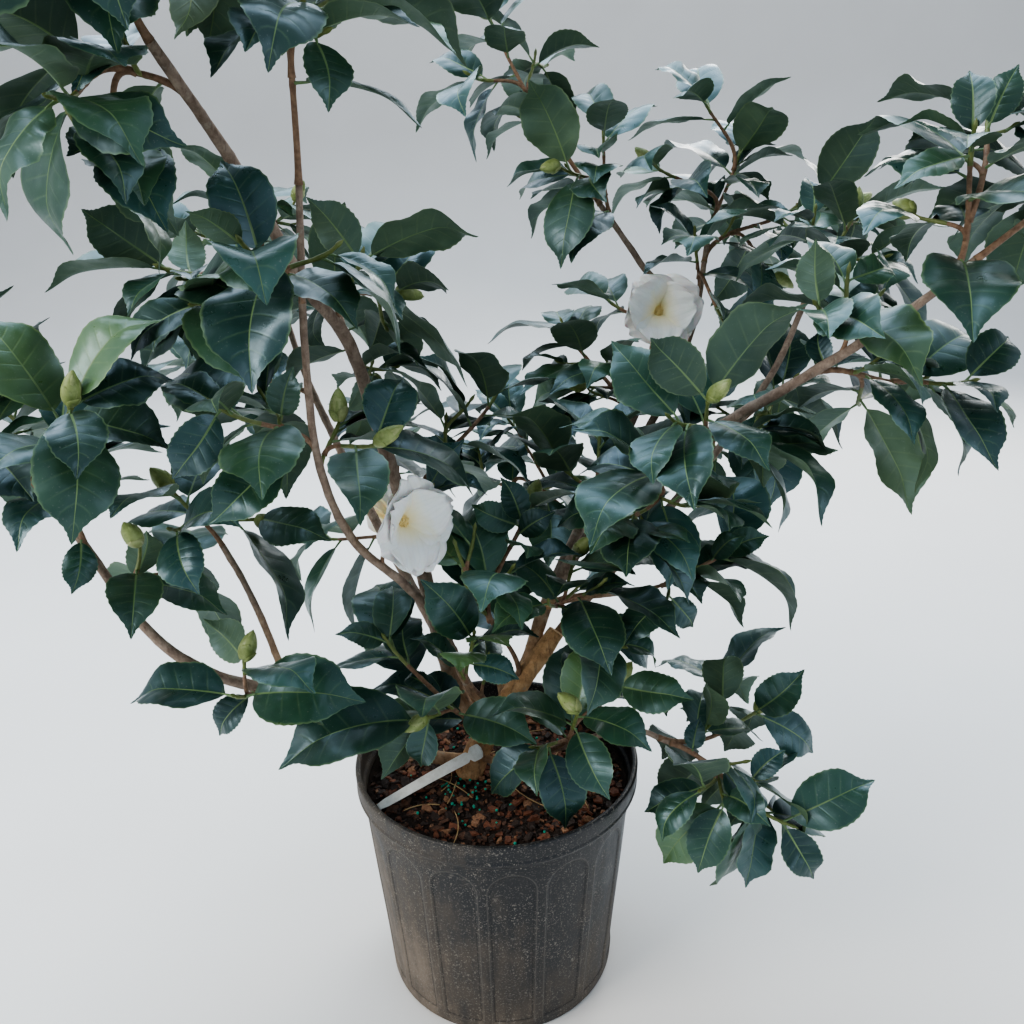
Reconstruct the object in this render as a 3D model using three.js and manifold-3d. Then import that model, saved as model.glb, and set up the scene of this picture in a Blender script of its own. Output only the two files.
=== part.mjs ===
// A camellia shrub in its black nursery pot: trunk, boughs, masses of leafy twigs, soil and plant tag.
// Millimetres, +Z up. The origin is the middle of the pot's flat underside, and -Y is the shrub's front.

import * as THREE from 'three';
import { mergeVertices } from 'three/addons/utils/BufferGeometryUtils.js';
import Module from 'manifold-3d';

const wasm = await Module();
wasm.setup();

// Driving dimensions of the pot, its soil and its tag

const GAP = 0.3;

const POT = {
  facets: 30,
  height: 241,
  baseRadius: 116.5,
  wallTopRadius: 133.5,
  wallTop: 214,
  bandBottom: 220,
  bandRadius: 139.3,
  topRadius: 140,
  edge: 1.5,
  lip: 5.5,
  wall: 2.6,
  floor: 3,
  panels: 15,
  panelAngle: 19,
  panelTurn: 6,
  panelDepth: 1.5,
  panelBottom: 12,
  panelTop: 203,
  panelArcSteps: 4,
};

const SOIL = { top: 215 };

const TAG = {
  points: [[-114, -50, 215.9], [-62, -26, 233], [-14, -17, 256]],
  faceAtFoot: [0, 0, 1],
  faceAtHead: [-0.2, -0.6, 0.75],
  thickness: 1,
  width: 12,
  neck: 7,
  head: 16,
  end: 13,
  headLength: 14,
  notch: 2,
  steps: 6,
};

// Driving dimensions of twigs, leaves, buds and flowers

const TWIG = {
  step: 55,
  sides: 3,
  solid: 1.5,
  feel: 6,
  tipRadius: 1.4,
  growth: 0.011,
  forkAngle: 50,
  forkStep: 4,
  forkHighest: 0.94,
  forkLowest: 0.35,
  shortest: 48,
  lead: 0.35,
  upturn: 0.35,
};

const LEAF = {
  length: 98,
  lengthSpread: 0.4,
  youngest: 0.8,
  halfWidth: 0.265,
  widthSpread: 0.2,
  rootShare: -0.012,
  widestShare: 0.43,
  kiteWidth: 1.08,
  rib: 1.6,
  fold: 0.14,
  goldenAngle: 137.5,
  spacing: [7, 13, 21, 32, 47, 66, 90, 118],
  perShoot: 4,
  bareRoot: 22,
  pitchAtTip: 36,
  pitchStep: 7,
  pitchMost: 74,
  pitchSpread: 16,
  turnSpread: 40,
  bend: 0.3,
  bendSpread: 0.6,
  droop: 0.12,
  adaxial: 0.4,
  skyward: 0.8,
  roll: 0.7,
  shownRoot: 4,
  shownShortest: 46,
  shownAngle: 95,
  shownBend: 0.55,
  shownShares: [0.3, 0.5, 0.7, 0.88],
};

const BUD = { length: 27, radius: 8, sides: 4, share: 0.27, lean: 0.5 };

// Rings of a flower from its back to its heart: radius at the petals, radius between them, height
const FLOWER = {
  petals: 7,
  radius: 46,
  heart: 0.4,
  rings: [[3, 3, -3], [16, 14, 3], [46, 37, 21], [12, 12, 7]],
};

// Clear space that a new leaf keeps to whatever already grows, and the turns it tries to find it. A shown
// leaf keeps less of it, by `ease`, and tries shifts towards the viewer and away. A line of sight stays clear
// by `sight`.
const CLEAR = {
  otherLeaf: 10,
  ownLeaf: 6,
  otherWood: 8,
  ownWood: 5,
  shoot: 2,
  knob: 3,
  pot: 7,
  sight: 9,
  ease: 0.5,
  shifts: [0, 12, -12, 24, -24, 36, -36, 50, -50],
  turns: [0, 34, -34, 68, -68],
};

// How finely a leaf is felt out, along it and across it, when its clear space is tested
const FEEL = {
  along: [0.12, 0.27, 0.42, 0.56, 0.7, 0.84, 0.98],
  across: [-0.9, -0.45, 0, 0.45, 0.9],
  rootRows: 1,
  heart: 0.55,
};

// Trunk and boughs: each is one tapering limb through a few waypoints, from its foot to where it ends

const TRUNK = {
  name: 'trunk',
  points: [[-28, 4, SOIL.top + GAP], [-12, 4, 256], [14, 5, 300], [38, 10, 334], [61, 20, 364]],
  foot: 12.5,
  tip: 8.2,
  flare: 1.35,
  sides: 9,
  step: 26,
};

const BOUGH = { sides: 6, step: 56 };

const BOUGHS = [
  { name: 'bough_low_left', from: 'trunk', foot: 7, tip: 3.4, points: [
    [-31, 2, 228], [-75, -8, 246], [-125, -30, 280], [-175, -60, 345], [-240, -80, 382], [-285, -90, 430],
    [-330, -90, 520]] },
  { name: 'bough_left_inner', from: 'bough_low_left', foot: 3.4, tip: 2.6, points: [
    [-180, -61, 348], [-188, -62, 382], [-197, -65, 425], [-209, -67, 466], [-223, -64, 496]] },
  { name: 'bough_upright', from: 'trunk', foot: 8.6, tip: 3.6, points: [
    [-12, 5, 258], [-42, 18, 312], [-69, 30, 439], [-95, 30, 549], [-116, 10, 649], [-143, -20, 703],
    [-171, -60, 783], [-202, -130, 867]] },
  { name: 'bough_slender', from: 'trunk', foot: 4.6, tip: 2.4, points: [
    [2, 4, 282], [-24, -14, 325], [-47, -30, 400], [-74, -50, 450], [-112, -70, 501], [-132, -80, 570],
    [-130, -100, 665], [-120, -115, 780]] },
  { name: 'bough_right', from: 'trunk', foot: 6.8, tip: 3.2, points: [
    [31, 9, 325], [49, 36, 378], [72, 31, 428], [101, 10, 479], [184, -10, 564], [252, -30, 615],
    [320, -50, 667], [375, -60, 716]] },
  { name: 'bough_low_right', from: 'trunk', foot: 3.6, tip: 2.6, points: [
    [-20, 2, 236], [5, -14, 241], [60, -26, 262], [125, -30, 285], [165, -40, 276]] },
  { name: 'bough_centre', from: 'bough_right', foot: 4.4, tip: 3, points: [
    [51, 36, 385], [76, 16, 402], [106, 3, 412], [140, 2, 416]] },
  { name: 'bough_back_centre', from: 'trunk', foot: 7, tip: 3, points: [
    [26, 8, 318], [58, 60, 388], [110, 130, 470], [161, 200, 549], [189, 260, 647], [168, 280, 686],
    [125, 300, 747]] },
  { name: 'bough_back_right', from: 'bough_back_centre', foot: 5, tip: 3, points: [
    [96, 111, 446], [170, 190, 520], [225, 260, 610], [250, 320, 700]] },
  { name: 'bough_right_rear', from: 'trunk', foot: 5.4, tip: 3, points: [
    [20, 6, 309], [90, 52, 380], [200, 110, 480], [285, 150, 580], [325, 175, 660]] },
  { name: 'bough_back_left', from: 'trunk', foot: 6.4, tip: 3, points: [
    [-8, 5, 263], [-55, 70, 330], [-130, 150, 440], [-200, 220, 570], [-235, 260, 670]] },
  { name: 'bough_back', from: 'trunk', foot: 5, tip: 3, points: [
    [10, 5, 294], [-2, 80, 335], [8, 170, 385], [22, 240, 440]] },
];

// Masses of foliage: each grows from one stem, which leaves its bough's end, or forks from its side, and
// ends at the first tip. A shoot forks from it to each other tip. `flower` says which way a blossom faces
// at the end of the stem. `shown` lists leaves that are seen plainly from the front: each one's tip, and how
// far its upper side turns from the sky (0) to the viewer (1), or away from the viewer (below 0).

const MASSES = [
  // Low on the left
  { name: 'leaves_far_left', from: 'bough_low_left', atEnd: true, tips: [
    [-430, -55, 640], [-385, -130, 610], [-395, -10, 600]] },
  { name: 'leaves_left_rosette', from: 'bough_low_left', tips: [
    [-320, -105, 605], [-285, -150, 640]], shown: [
    [-225, -130, 705, 0.3], [-225, -105, 655, 0.5], [-340, -90, 465, 0.9]] },
  { name: 'leaves_low_left', from: 'bough_low_left', tips: [[-265, -125, 525], [-262, -50, 480]], shown: [
    [-265, -105, 530, -0.8]] },
  { name: 'leaves_low_left_under', from: 'bough_low_left', tips: [
    [-210, -122, 386], [-202, -112, 416]], shown: [
    [-310, -105, 385, 0.3], [-230, -110, 450, -0.7], [-240, -100, 330, 0.5]] },
  { name: 'leaves_left_inner', from: 'bough_left_inner', atEnd: true, tips: [
    [-261, -60, 548], [-243, -112, 530], [-194, -50, 515]], shown: [
    [-130, -75, 510, 0.5]] },

  // Upright on the left
  { name: 'leaves_upright_inner', from: 'bough_upright', tips: [[-98, -5, 722], [-75, 45, 690]], shown: [
    [-140, 5, 770, -0.85], [0, -25, 750, -0.4], [-25, -10, 700, -0.5]] },
  { name: 'leaves_upright_left', from: 'bough_upright', tips: [
    [-240, -60, 722], [-205, -100, 700], [-200, -20, 680]], shown: [
    [-285, -85, 770, -0.85], [-230, -15, 755, -0.8], [-325, -80, 715, 0]] },
  { name: 'leaves_upright_rear', from: 'bough_upright', tips: [[-150, 130, 690], [-110, 110, 600]] },
  { name: 'leaves_top_left', from: 'bough_upright', tips: [
    [-290, -125, 872], [-235, -205, 830], [-230, -150, 785]] },
  { name: 'leaves_top', from: 'bough_upright', atEnd: true, tips: [
    [-215, -150, 985], [-165, -90, 950], [-205, -225, 905]] },
  { name: 'leaves_slender_side', from: 'bough_slender', tips: [
    [-195, -115, 628], [-150, -125, 590], [-165, -50, 610]], shown: [
    [-230, -140, 580, 0.85], [-145, -80, 650, 0.9]] },
  { name: 'leaves_slender_low', from: 'bough_slender', tips: [[-118, -52, 600], [-84, -84, 588]], shown: [
    [-65, -55, 640, 0.9]] },
  { name: 'leaves_slender_mid', from: 'bough_slender', tips: [[-150, -160, 745], [-95, -140, 740]], shown: [
    [-175, -185, 770, -0.5]] },
  { name: 'leaves_slender_top', from: 'bough_slender', atEnd: true, tips: [
    [-118, -120, 960], [-85, -85, 905], [-95, -165, 890]] },
  { name: 'leaves_flower_left', from: 'bough_slender', flower: [0.72, -0.68, 0.08], tips: [[-78, -62, 516]] },

  // Centre and front
  { name: 'leaves_centre_left', from: 'trunk', tips: [
    [-14, -34, 436], [-46, -66, 432], [18, -54, 464], [38, 4, 508], [-28, -56, 488]], shown: [
    [-20, 0, 505, 0.95], [55, -25, 505, 0.95], [10, 20, 525, 0.9]] },
  { name: 'leaves_centre', from: 'bough_centre', tips: [
    [50, -60, 436], [98, -48, 448], [112, -64, 394], [76, -22, 466]], shown: [
    [120, -50, 450, 0.3]] },
  { name: 'leaves_centre_right', from: 'bough_centre', atEnd: true, tips: [
    [185, -5, 438], [145, 38, 466], [226, 16, 454], [156, -40, 424]], shown: [
    [190, -20, 385, 0.7], [230, -5, 475, 0.6], [255, 0, 470, 0.8]] },
  { name: 'leaves_centre_back', from: 'bough_right', tips: [
    [106, 70, 554], [64, 46, 530], [130, 54, 508]] },
  { name: 'leaves_inner_rear', from: 'bough_upright', tips: [[10, 92, 590], [-42, 84, 560]] },
  { name: 'leaves_front', from: 'trunk', tips: [[-46, -56, 340], [-94, -52, 398], [-62, -72, 330]], shown: [
    [-190, -110, 310, 0.4], [40, -80, 310, 0.75], [-85, -35, 355, 0.5], [-70, -70, 275, 0.5],
    [-105, -75, 270, -0.5], [-135, -65, 415, 0.5]] },
  { name: 'leaves_front_centre', from: 'trunk', tips: [[-30, -60, 374], [-16, -52, 400]], shown: [
    [-55, -85, 470, 0.9], [25, -60, 360, 0.8]] },
  { name: 'leaves_front_right', from: 'bough_low_right', tips: [
    [76, -80, 340], [38, -72, 296], [112, -58, 352]], shown: [
    [175, -85, 355, 0.6], [100, -115, 270, 0.85], [65, -100, 225, 0.85]] },
  { name: 'leaves_low_right', from: 'bough_low_right', atEnd: true, tips: [
    [268, -85, 216], [210, -88, 242], [184, -94, 262], [252, -48, 238]], shown: [
    [155, -80, 165, 0.9], [185, -105, 175, 0.85], [350, -75, 260, 0.9], [295, -110, 170, 0.9],
    [275, -45, 270, 0.9], [190, -40, 300, 0.9]] },
  { name: 'leaves_low_right_upper', from: 'bough_low_right', tips: [
    [258, -2, 284], [224, 26, 306]], shown: [
    [320, -15, 240, 0.5], [305, 15, 320, 0.9]] },

  // Right
  { name: 'leaves_right_low', from: 'bough_right', tips: [
    [176, -34, 512], [116, -46, 506], [138, -52, 556]] },
  { name: 'leaves_right_inner', from: 'bough_right', tips: [
    [178, -64, 614], [150, -58, 596], [236, -30, 560]], shown: [
    [245, -60, 695, -0.5], [125, -60, 665, -0.8]] },
  { name: 'leaves_right_upper', from: 'bough_right', tips: [[290, -30, 702], [255, -70, 685]], shown: [
    [255, -55, 735, -0.7], [335, -10, 710, 0.7]] },
  { name: 'leaves_right_mid', from: 'bough_right', tips: [
    [375, 0, 612], [395, -40, 618], [330, 20, 585]], shown: [
    [270, -30, 655, 0.9], [445, -10, 655, 0.8]] },
  { name: 'leaves_right_tip', from: 'bough_right', atEnd: true, tips: [
    [465, -62, 808], [425, -90, 770], [440, -20, 765]] },
  { name: 'leaves_right_top', from: 'bough_right', tips: [
    [350, -80, 805], [330, -35, 750], [390, -15, 830]], shown: [
    [350, -60, 850, 0.8], [395, -40, 855, 0.7], [295, -85, 775, 0.4], [275, -90, 750, 0.4]] },
  { name: 'leaves_right_rear_tip', from: 'bough_right_rear', atEnd: true, tips: [
    [370, 190, 740], [310, 230, 730], [385, 140, 700]] },
  { name: 'leaves_right_rear', from: 'bough_right_rear', tips: [
    [330, 210, 560], [270, 90, 560], [230, 190, 500]] },

  // Back
  { name: 'leaves_back_top', from: 'bough_back_centre', atEnd: true, tips: [
    [5, 325, 940], [-15, 300, 880], [55, 345, 900]] },
  { name: 'leaves_back_upper', from: 'bough_back_centre', tips: [[125, 290, 830], [75, 255, 790]] },
  { name: 'leaves_flower_right', from: 'bough_back_centre', flower: [0.05, -1, 0.15], tips: [
    [180, 228, 640], [125, 245, 655]] },
  { name: 'leaves_back_mid', from: 'bough_back_centre', tips: [
    [80, 255, 625], [100, 205, 565], [150, 175, 600]] },
  { name: 'leaves_back_right_top', from: 'bough_back_right', atEnd: true, tips: [
    [290, 350, 805], [240, 340, 860], [185, 330, 790]] },
  { name: 'leaves_back_right_outer', from: 'bough_back_right', tips: [
    [365, 350, 745], [445, 385, 740], [330, 310, 665]] },
  { name: 'leaves_back_right_inner', from: 'bough_back_right', tips: [[225, 265, 715], [260, 225, 620]] },
  { name: 'leaves_back_left_tip', from: 'bough_back_left', atEnd: true, tips: [
    [-270, 290, 775], [-210, 290, 760], [-310, 240, 730]] },
  { name: 'leaves_back_left_outer', from: 'bough_back_left', tips: [[-320, 200, 600], [-260, 170, 650]] },
  { name: 'leaves_back_left_low', from: 'bough_back_left', flower: [-0.3, 1, 0.1], tips: [
    [-112, 195, 412], [-110, 260, 520], [-200, 170, 410]] },
  { name: 'leaves_back', from: 'bough_back', atEnd: true, tips: [
    [118, 245, 392], [-40, 270, 450], [30, 300, 490]] },
];

// The place of the viewer before the shrub
const VIEWER = [20, -777, 789];

// Spots that no other leaf may hide from the viewer: tag, soil, stub, blossoms and gaps
const OPEN_SPOTS = [
  [-108, -50, 217], [-86, -38, 225], [-62, -26, 233], [-38, -22, 244], [-16, -17, 254],
  [-10, -100, 215], [40, -105, 215], [-60, -90, 215], [60, -100, 215], [-30, -70, 215], [10, -70, 215],
  [61, 20, 364], [48, 14, 348], [-28, 4, 222], [-20, 4, 240],
  [-60, -104, 520], [-84, -104, 520], [-72, -104, 545], [-74, -104, 496],
  [180, 190, 655], [160, 190, 655], [200, 190, 655], [180, 190, 680],
];

// Small vector and path tools

const UP = new THREE.Vector3(0, 0, 1);
const SIDEWAYS = new THREE.Vector3(1, 0, 0);
const vec = (p) => new THREE.Vector3(p[0], p[1], p[2]);
const radians = THREE.MathUtils.degToRad;
const mix = (a, b, t) => a + (b - a) * t;

// `from` moved by any number of distance and direction pairs
function moved(from, ...steps) {
  const point = from.clone();
  for (const [distance, direction] of steps) point.addScaledVector(direction, distance);
  return point;
}

function anySquareTo(direction) {
  const other = Math.abs(direction.z) < 0.9 ? UP : SIDEWAYS;
  return new THREE.Vector3().crossVectors(direction, other).normalize();
}

function turnedAbout(vector, axis, angle) {
  return vector.clone().applyAxisAngle(axis, angle);
}

function pathLength(points) {
  let length = 0;
  for (let i = 1; i < points.length; i += 1) length += points[i].distanceTo(points[i - 1]);
  return length;
}

// A smooth path through waypoints, as straight steps
function smoothPath(points, step) {
  const waypoints = points.map(vec);
  const curve = new THREE.CatmullRomCurve3(waypoints, false, 'catmullrom', 0.5);
  return curve.getPoints(Math.max(2, Math.round(pathLength(waypoints) / step)));
}

// Seeded random numbers between 0 and 1
function randomNumbers(seed) {
  let state = seed;
  return () => {
    state = (state * 48271) % 2147483647;
    return state / 2147483647;
  };
}

// Wood: a limb or twig is a path with a radius that tapers evenly from foot to tip

function makeWood(path, foot, tip, owner) {
  const marks = [0];
  for (let i = 1; i < path.length; i += 1) marks.push(marks[i - 1] + path[i].distanceTo(path[i - 1]));
  return { path, marks, foot, tip, owner, length: marks[marks.length - 1] };
}

function radiusAt(wood, distance) {
  return mix(wood.foot, wood.tip, distance / wood.length);
}

function placeAt(wood, distance) {
  let i = 1;
  while (i < wood.path.length - 1 && wood.marks[i] < distance) i += 1;
  const [a, b] = [wood.path[i - 1], wood.path[i]];
  const share = (distance - wood.marks[i - 1]) / (wood.marks[i] - wood.marks[i - 1]);
  return { point: a.clone().lerp(b, share), tangent: b.clone().sub(a).normalize() };
}

// The highest place, from `highest` down, from which `tip` is reached without a sharp fork
function forkDistance(wood, tip, { highest, lowest, shortest, angle }) {
  for (let distance = highest; distance > lowest; distance -= TWIG.forkStep) {
    const { point, tangent } = placeAt(wood, distance);
    const way = tip.clone().sub(point);
    if (way.length() >= shortest && way.angleTo(tangent) <= radians(angle)) return distance;
  }
  return lowest;
}

function shootForkDistance(wood, tip, lowest) {
  const highest = wood.length * TWIG.forkHighest;
  return forkDistance(wood, tip, { highest, lowest, shortest: TWIG.shortest, angle: TWIG.forkAngle });
}

function leafForkDistance(wood, tip) {
  const highest = wood.length - LEAF.shownRoot;
  return forkDistance(wood, tip, {
    highest, lowest: LEAF.bareRoot, shortest: LEAF.shownShortest, angle: LEAF.shownAngle,
  });
}

// A shoot leaves its parent along the parent's own direction, swings over to its tip and turns up there
function growShoot(start, tangent, tip, owner) {
  const way = tip.clone().sub(start);
  const reach = way.length();
  const ending = moved(way.clone().normalize(), [TWIG.upturn, UP]).normalize();
  const lead = moved(start, [reach * TWIG.lead, tangent]);
  const back = moved(tip, [-reach * TWIG.lead, ending]);
  const curve = new THREE.CubicBezierCurve3(start, lead, back, tip);
  const path = curve.getPoints(Math.max(2, Math.round(reach / TWIG.step)));
  return makeWood(path, TWIG.tipRadius + TWIG.growth * reach, TWIG.tipRadius, owner);
}

// The stem and shoots of one mass
function growShoots(mass, bough) {
  const [first, ...others] = mass.tips.map(vec);
  const fork = mass.atEnd ? bough.length : shootForkDistance(bough, first, 0);
  const { point, tangent } = placeAt(bough, fork);
  const start = mass.atEnd ? moved(point, [GAP, tangent]) : point;
  const stem = growShoot(start, tangent, first, mass.name);
  if (mass.atEnd) stem.foot = Math.min(stem.foot, bough.tip);
  const forked = others.map((tip) => {
    const place = placeAt(stem, shootForkDistance(stem, tip, stem.length * TWIG.forkLowest));
    return growShoot(place.point, place.tangent, tip, mass.name);
  });
  return [stem, ...forked];
}

// Whether a side shoot keeps clear of every limb and of other masses' shoots
function shootHasRoom(shoot, shrub) {
  const foreign = [...shrub.limbs, ...shrub.shoots.filter((other) => other.owner !== shoot.owner)];
  for (let distance = TWIG.feel; distance <= shoot.length; distance += TWIG.feel) {
    const { point } = placeAt(shoot, distance);
    if (closest(point, foreign) < radiusAt(shoot, distance) * TWIG.solid + CLEAR.shoot) return false;
  }
  return true;
}

// Leaves: a leaf is a place, a direction, an upper side, and a midrib that bends down evenly

function leafFrame(leaf, share) {
  const angle = leaf.bend * share;
  const forward = (leaf.length * Math.sin(angle)) / leaf.bend;
  const down = (leaf.length * (1 - Math.cos(angle))) / leaf.bend;
  const along = moved(new THREE.Vector3(), [Math.cos(angle), leaf.along], [-Math.sin(angle), leaf.upper]);
  const upper = moved(new THREE.Vector3(), [Math.cos(angle), leaf.upper], [Math.sin(angle), leaf.along]);
  const middle = moved(leaf.root, [forward, leaf.along], [-down, leaf.upper]);
  return { middle, upper, side: new THREE.Vector3().crossVectors(along, upper) };
}

// The outline used to feel out a leaf's space: narrow at both ends
function feltWidth(share) {
  return Math.sin(Math.PI * Math.min(1, share * 0.86 + 0.12)) ** 0.7;
}

function feelPoints(leaf) {
  const points = [];
  for (const share of FEEL.along) {
    const { middle, upper, side } = leafFrame(leaf, share);
    const half = leaf.halfWidth * feltWidth(share);
    for (const across of FEEL.across) {
      points.push(moved(middle, [half * across, side], [half * Math.abs(across) * LEAF.fold, upper]));
    }
  }
  return points;
}

// The leaf that wants to grow `spacing[rank]` below a shoot's tip, turned by `turn` from its own place
function leafOn(shoot, rank, draws, turn) {
  const distance = shoot.length - LEAF.spacing[rank];
  const { point, tangent } = placeAt(shoot, distance);
  const spin = rank * LEAF.goldenAngle + shoot.phase + (draws[1] - 0.5) * LEAF.turnSpread + turn;
  const outward = turnedAbout(anySquareTo(tangent), tangent, radians(spin));
  if (outward.z < 0) outward.setZ(outward.z * 0.5).normalize();
  const opened = Math.min(LEAF.pitchMost, LEAF.pitchAtTip + rank * LEAF.pitchStep);
  const pitch = opened + (draws[2] - 0.5) * LEAF.pitchSpread;
  const along = moved(
    new THREE.Vector3(),
    [Math.cos(radians(pitch)), tangent],
    [Math.sin(radians(pitch)), outward],
    [-LEAF.droop, UP],
  ).normalize();
  const adaxial = moved(tangent, [-tangent.dot(along), along]);
  const skyward = moved(UP, [-UP.dot(along), along]);
  const sideways = new THREE.Vector3().crossVectors(along, UP);
  const upper = moved(
    new THREE.Vector3(),
    [LEAF.adaxial, adaxial],
    [LEAF.skyward, skyward],
    [(draws[3] - 0.5) * LEAF.roll, sideways],
  ).normalize();
  const young = rank === 0 ? LEAF.youngest : 1;
  const length = LEAF.length * young * (1 + (draws[0] - 0.5) * LEAF.lengthSpread);
  return {
    root: point,
    along,
    upper,
    length,
    halfWidth: length * LEAF.halfWidth * (1 + (draws[5] - 0.5) * LEAF.widthSpread),
    bend: LEAF.bend + LEAF.bendSpread * draws[4],
    owner: shoot.owner,
    shoot,
  };
}

// A shown leaf, whose tip may be moved by `shift` towards the viewer
function leafInView(mass, [x, y, z, face], shift) {
  const tip = vec([x, y, z]);
  const places = mass.shoots.map((shoot) => ({ shoot, ...placeAt(shoot, leafForkDistance(shoot, tip)) }));
  const root = places.reduce((a, b) => (b.point.distanceTo(tip) < a.point.distanceTo(tip) ? b : a));
  const toViewer = vec(VIEWER).sub(tip).normalize();
  const chord = moved(tip, [shift, toViewer]).sub(root.point);
  const way = chord.clone().normalize();
  const facing = moved(new THREE.Vector3(), [1 - Math.abs(face), UP], [face, toViewer]);
  const square = moved(facing, [-facing.dot(way), way]).normalize();
  const half = LEAF.shownBend / 2;
  const length = (chord.length() * half) / Math.sin(half);
  return {
    root: root.point,
    along: moved(new THREE.Vector3(), [Math.cos(half), way], [Math.sin(half), square]),
    upper: moved(new THREE.Vector3(), [Math.cos(half), square], [-Math.sin(half), way]),
    length,
    halfWidth: length * LEAF.halfWidth,
    bend: LEAF.shownBend,
    owner: mass.name,
    shoot: root.shoot,
    shown: true,
  };
}

// Distances

function distanceToSegment(point, a, b) {
  const [abx, aby, abz] = [b.x - a.x, b.y - a.y, b.z - a.z];
  const [apx, apy, apz] = [point.x - a.x, point.y - a.y, point.z - a.z];
  const share = (apx * abx + apy * aby + apz * abz) / (abx * abx + aby * aby + abz * abz);
  const held = Math.min(1, Math.max(0, share));
  return Math.hypot(apx - abx * held, apy - aby * held, apz - abz * held);
}

// The clear distance from a point to a limb or twig's bark
function barkDistance(point, wood) {
  let nearest = Infinity;
  for (let i = 1; i < wood.path.length; i += 1) {
    const radius = Math.max(radiusAt(wood, wood.marks[i - 1]), radiusAt(wood, wood.marks[i]));
    nearest = Math.min(nearest, distanceToSegment(point, wood.path[i - 1], wood.path[i]) - radius);
  }
  return nearest;
}

function nearPot(point) {
  const across = Math.hypot(point.x, point.y);
  const inside = across < POT.topRadius - POT.lip - CLEAR.pot && point.z > SOIL.top + CLEAR.pot;
  const beside = across < POT.topRadius + CLEAR.pot && point.z < POT.height + CLEAR.pot;
  return point.z < CLEAR.pot || (beside && !inside);
}

// The growing shrub: it holds everything that a new leaf has to keep clear of

function makeShrub(limbs, shoots) {
  return { limbs, shoots, knobs: [], leaves: [], spots: OPEN_SPOTS.map(vec) };
}

function closest(point, woods) {
  return woods.reduce((least, wood) => Math.min(least, barkDistance(point, wood)), Infinity);
}

// Whether a leaf leaves the sight lines to the open spots free
function keepsSight(points, shrub) {
  const viewer = vec(VIEWER);
  return !points.some((point) => (
    shrub.spots.some((spot) => distanceToSegment(point, viewer, spot) < CLEAR.sight)
  ));
}

function leafHasRoom(leaf, shrub) {
  const points = feelPoints(leaf);
  const blade = points.slice(FEEL.rootRows * FEEL.across.length);
  const heart = leafFrame(leaf, FEEL.heart).middle;
  const near = (wood) => barkDistance(heart, wood) < leaf.length;
  const own = shrub.shoots.filter((shoot) => shoot.owner === leaf.owner);
  const foreign = shrub.shoots.filter((shoot) => shoot.owner !== leaf.owner && near(shoot));
  if (!leaf.shown && closest(heart, foreign) < closest(heart, own)) return false;
  if (points.some(nearPot)) return false;
  const ease = leaf.shown ? CLEAR.ease : 1;
  const foreignWood = [...shrub.limbs.filter(near), ...foreign];
  if (points.some((point) => closest(point, foreignWood) < CLEAR.otherWood * ease)) return false;
  const ownWood = own.filter((shoot) => shoot !== leaf.shoot && near(shoot));
  if (blade.some((point) => closest(point, ownWood) < CLEAR.ownWood * ease)) return false;
  for (const knob of shrub.knobs) {
    const felt = knob.owner === leaf.owner ? blade : points;
    const room = knob.radius + (knob.owner === leaf.owner ? CLEAR.knob : CLEAR.otherWood) * ease;
    if (felt.some((point) => point.distanceTo(knob.centre) < room)) return false;
  }
  for (const other of shrub.leaves) {
    if (other.heart.distanceTo(heart) > leaf.length + CLEAR.otherLeaf) continue;
    const room = other.owner === leaf.owner ? CLEAR.ownLeaf * ease : CLEAR.otherLeaf;
    const [mine, theirs] = other.owner === leaf.owner ? [blade, other.blade] : [points, other.points];
    if (mine.some((a) => theirs.some((b) => a.distanceTo(b) < room))) return false;
  }
  if (!leaf.shown && !keepsSight(blade, shrub)) return false;
  Object.assign(leaf, { points, blade, heart });
  return true;
}

// Solids

function solidOf(points, triangles) {
  const vertProperties = new Float32Array(points.flatMap((p) => [p.x, p.y, p.z]));
  const triVerts = new Uint32Array(triangles.flat());
  return new wasm.Manifold(new wasm.Mesh({ numProp: 3, vertProperties, triVerts }));
}

function solidOfGeometry(geometry) {
  geometry.deleteAttribute('normal');
  geometry.deleteAttribute('uv');
  const merged = mergeVertices(geometry, 1e-3);
  const mesh = new wasm.Mesh({
    numProp: 3,
    vertProperties: new Float32Array(merged.attributes.position.array),
    triVerts: new Uint32Array(merged.index.array),
  });
  return new wasm.Manifold(mesh);
}

// A closed skin over rings of points, each ring turning right-handed about the way on. A ring of one point
// is a sharp end, and a ring of more points at either end is closed flat.
function loft(rings) {
  const points = rings.flat();
  const triangles = [];
  let base = 0;
  for (let r = 0; r + 1 < rings.length; r += 1) {
    const [n, m] = [rings[r].length, rings[r + 1].length];
    const next = base + n;
    for (let i = 0; i < Math.max(n, m); i += 1) {
      const j = (i + 1) % Math.max(n, m);
      if (n > 1) triangles.push([base + i, base + j, next + (m > 1 ? j : 0)]);
      if (m > 1) triangles.push([base + (n > 1 ? i : 0), next + j, next + i]);
    }
    base = next;
  }
  const first = rings[0].length;
  for (let i = 1; i + 1 < first; i += 1) triangles.push([0, i + 1, i]);
  const last = rings[rings.length - 1].length;
  for (let i = 1; i + 1 < last; i += 1) triangles.push([base, base + i, base + i + 1]);
  return solidOf(points, triangles);
}

function circle(centre, axis, reference, radius, sides) {
  const square = moved(reference, [-reference.dot(axis), axis]).normalize();
  const ring = [];
  for (let i = 0; i < sides; i += 1) {
    ring.push(moved(centre, [radius, turnedAbout(square, axis, (i / sides) * 2 * Math.PI)]));
  }
  return ring;
}

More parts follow.
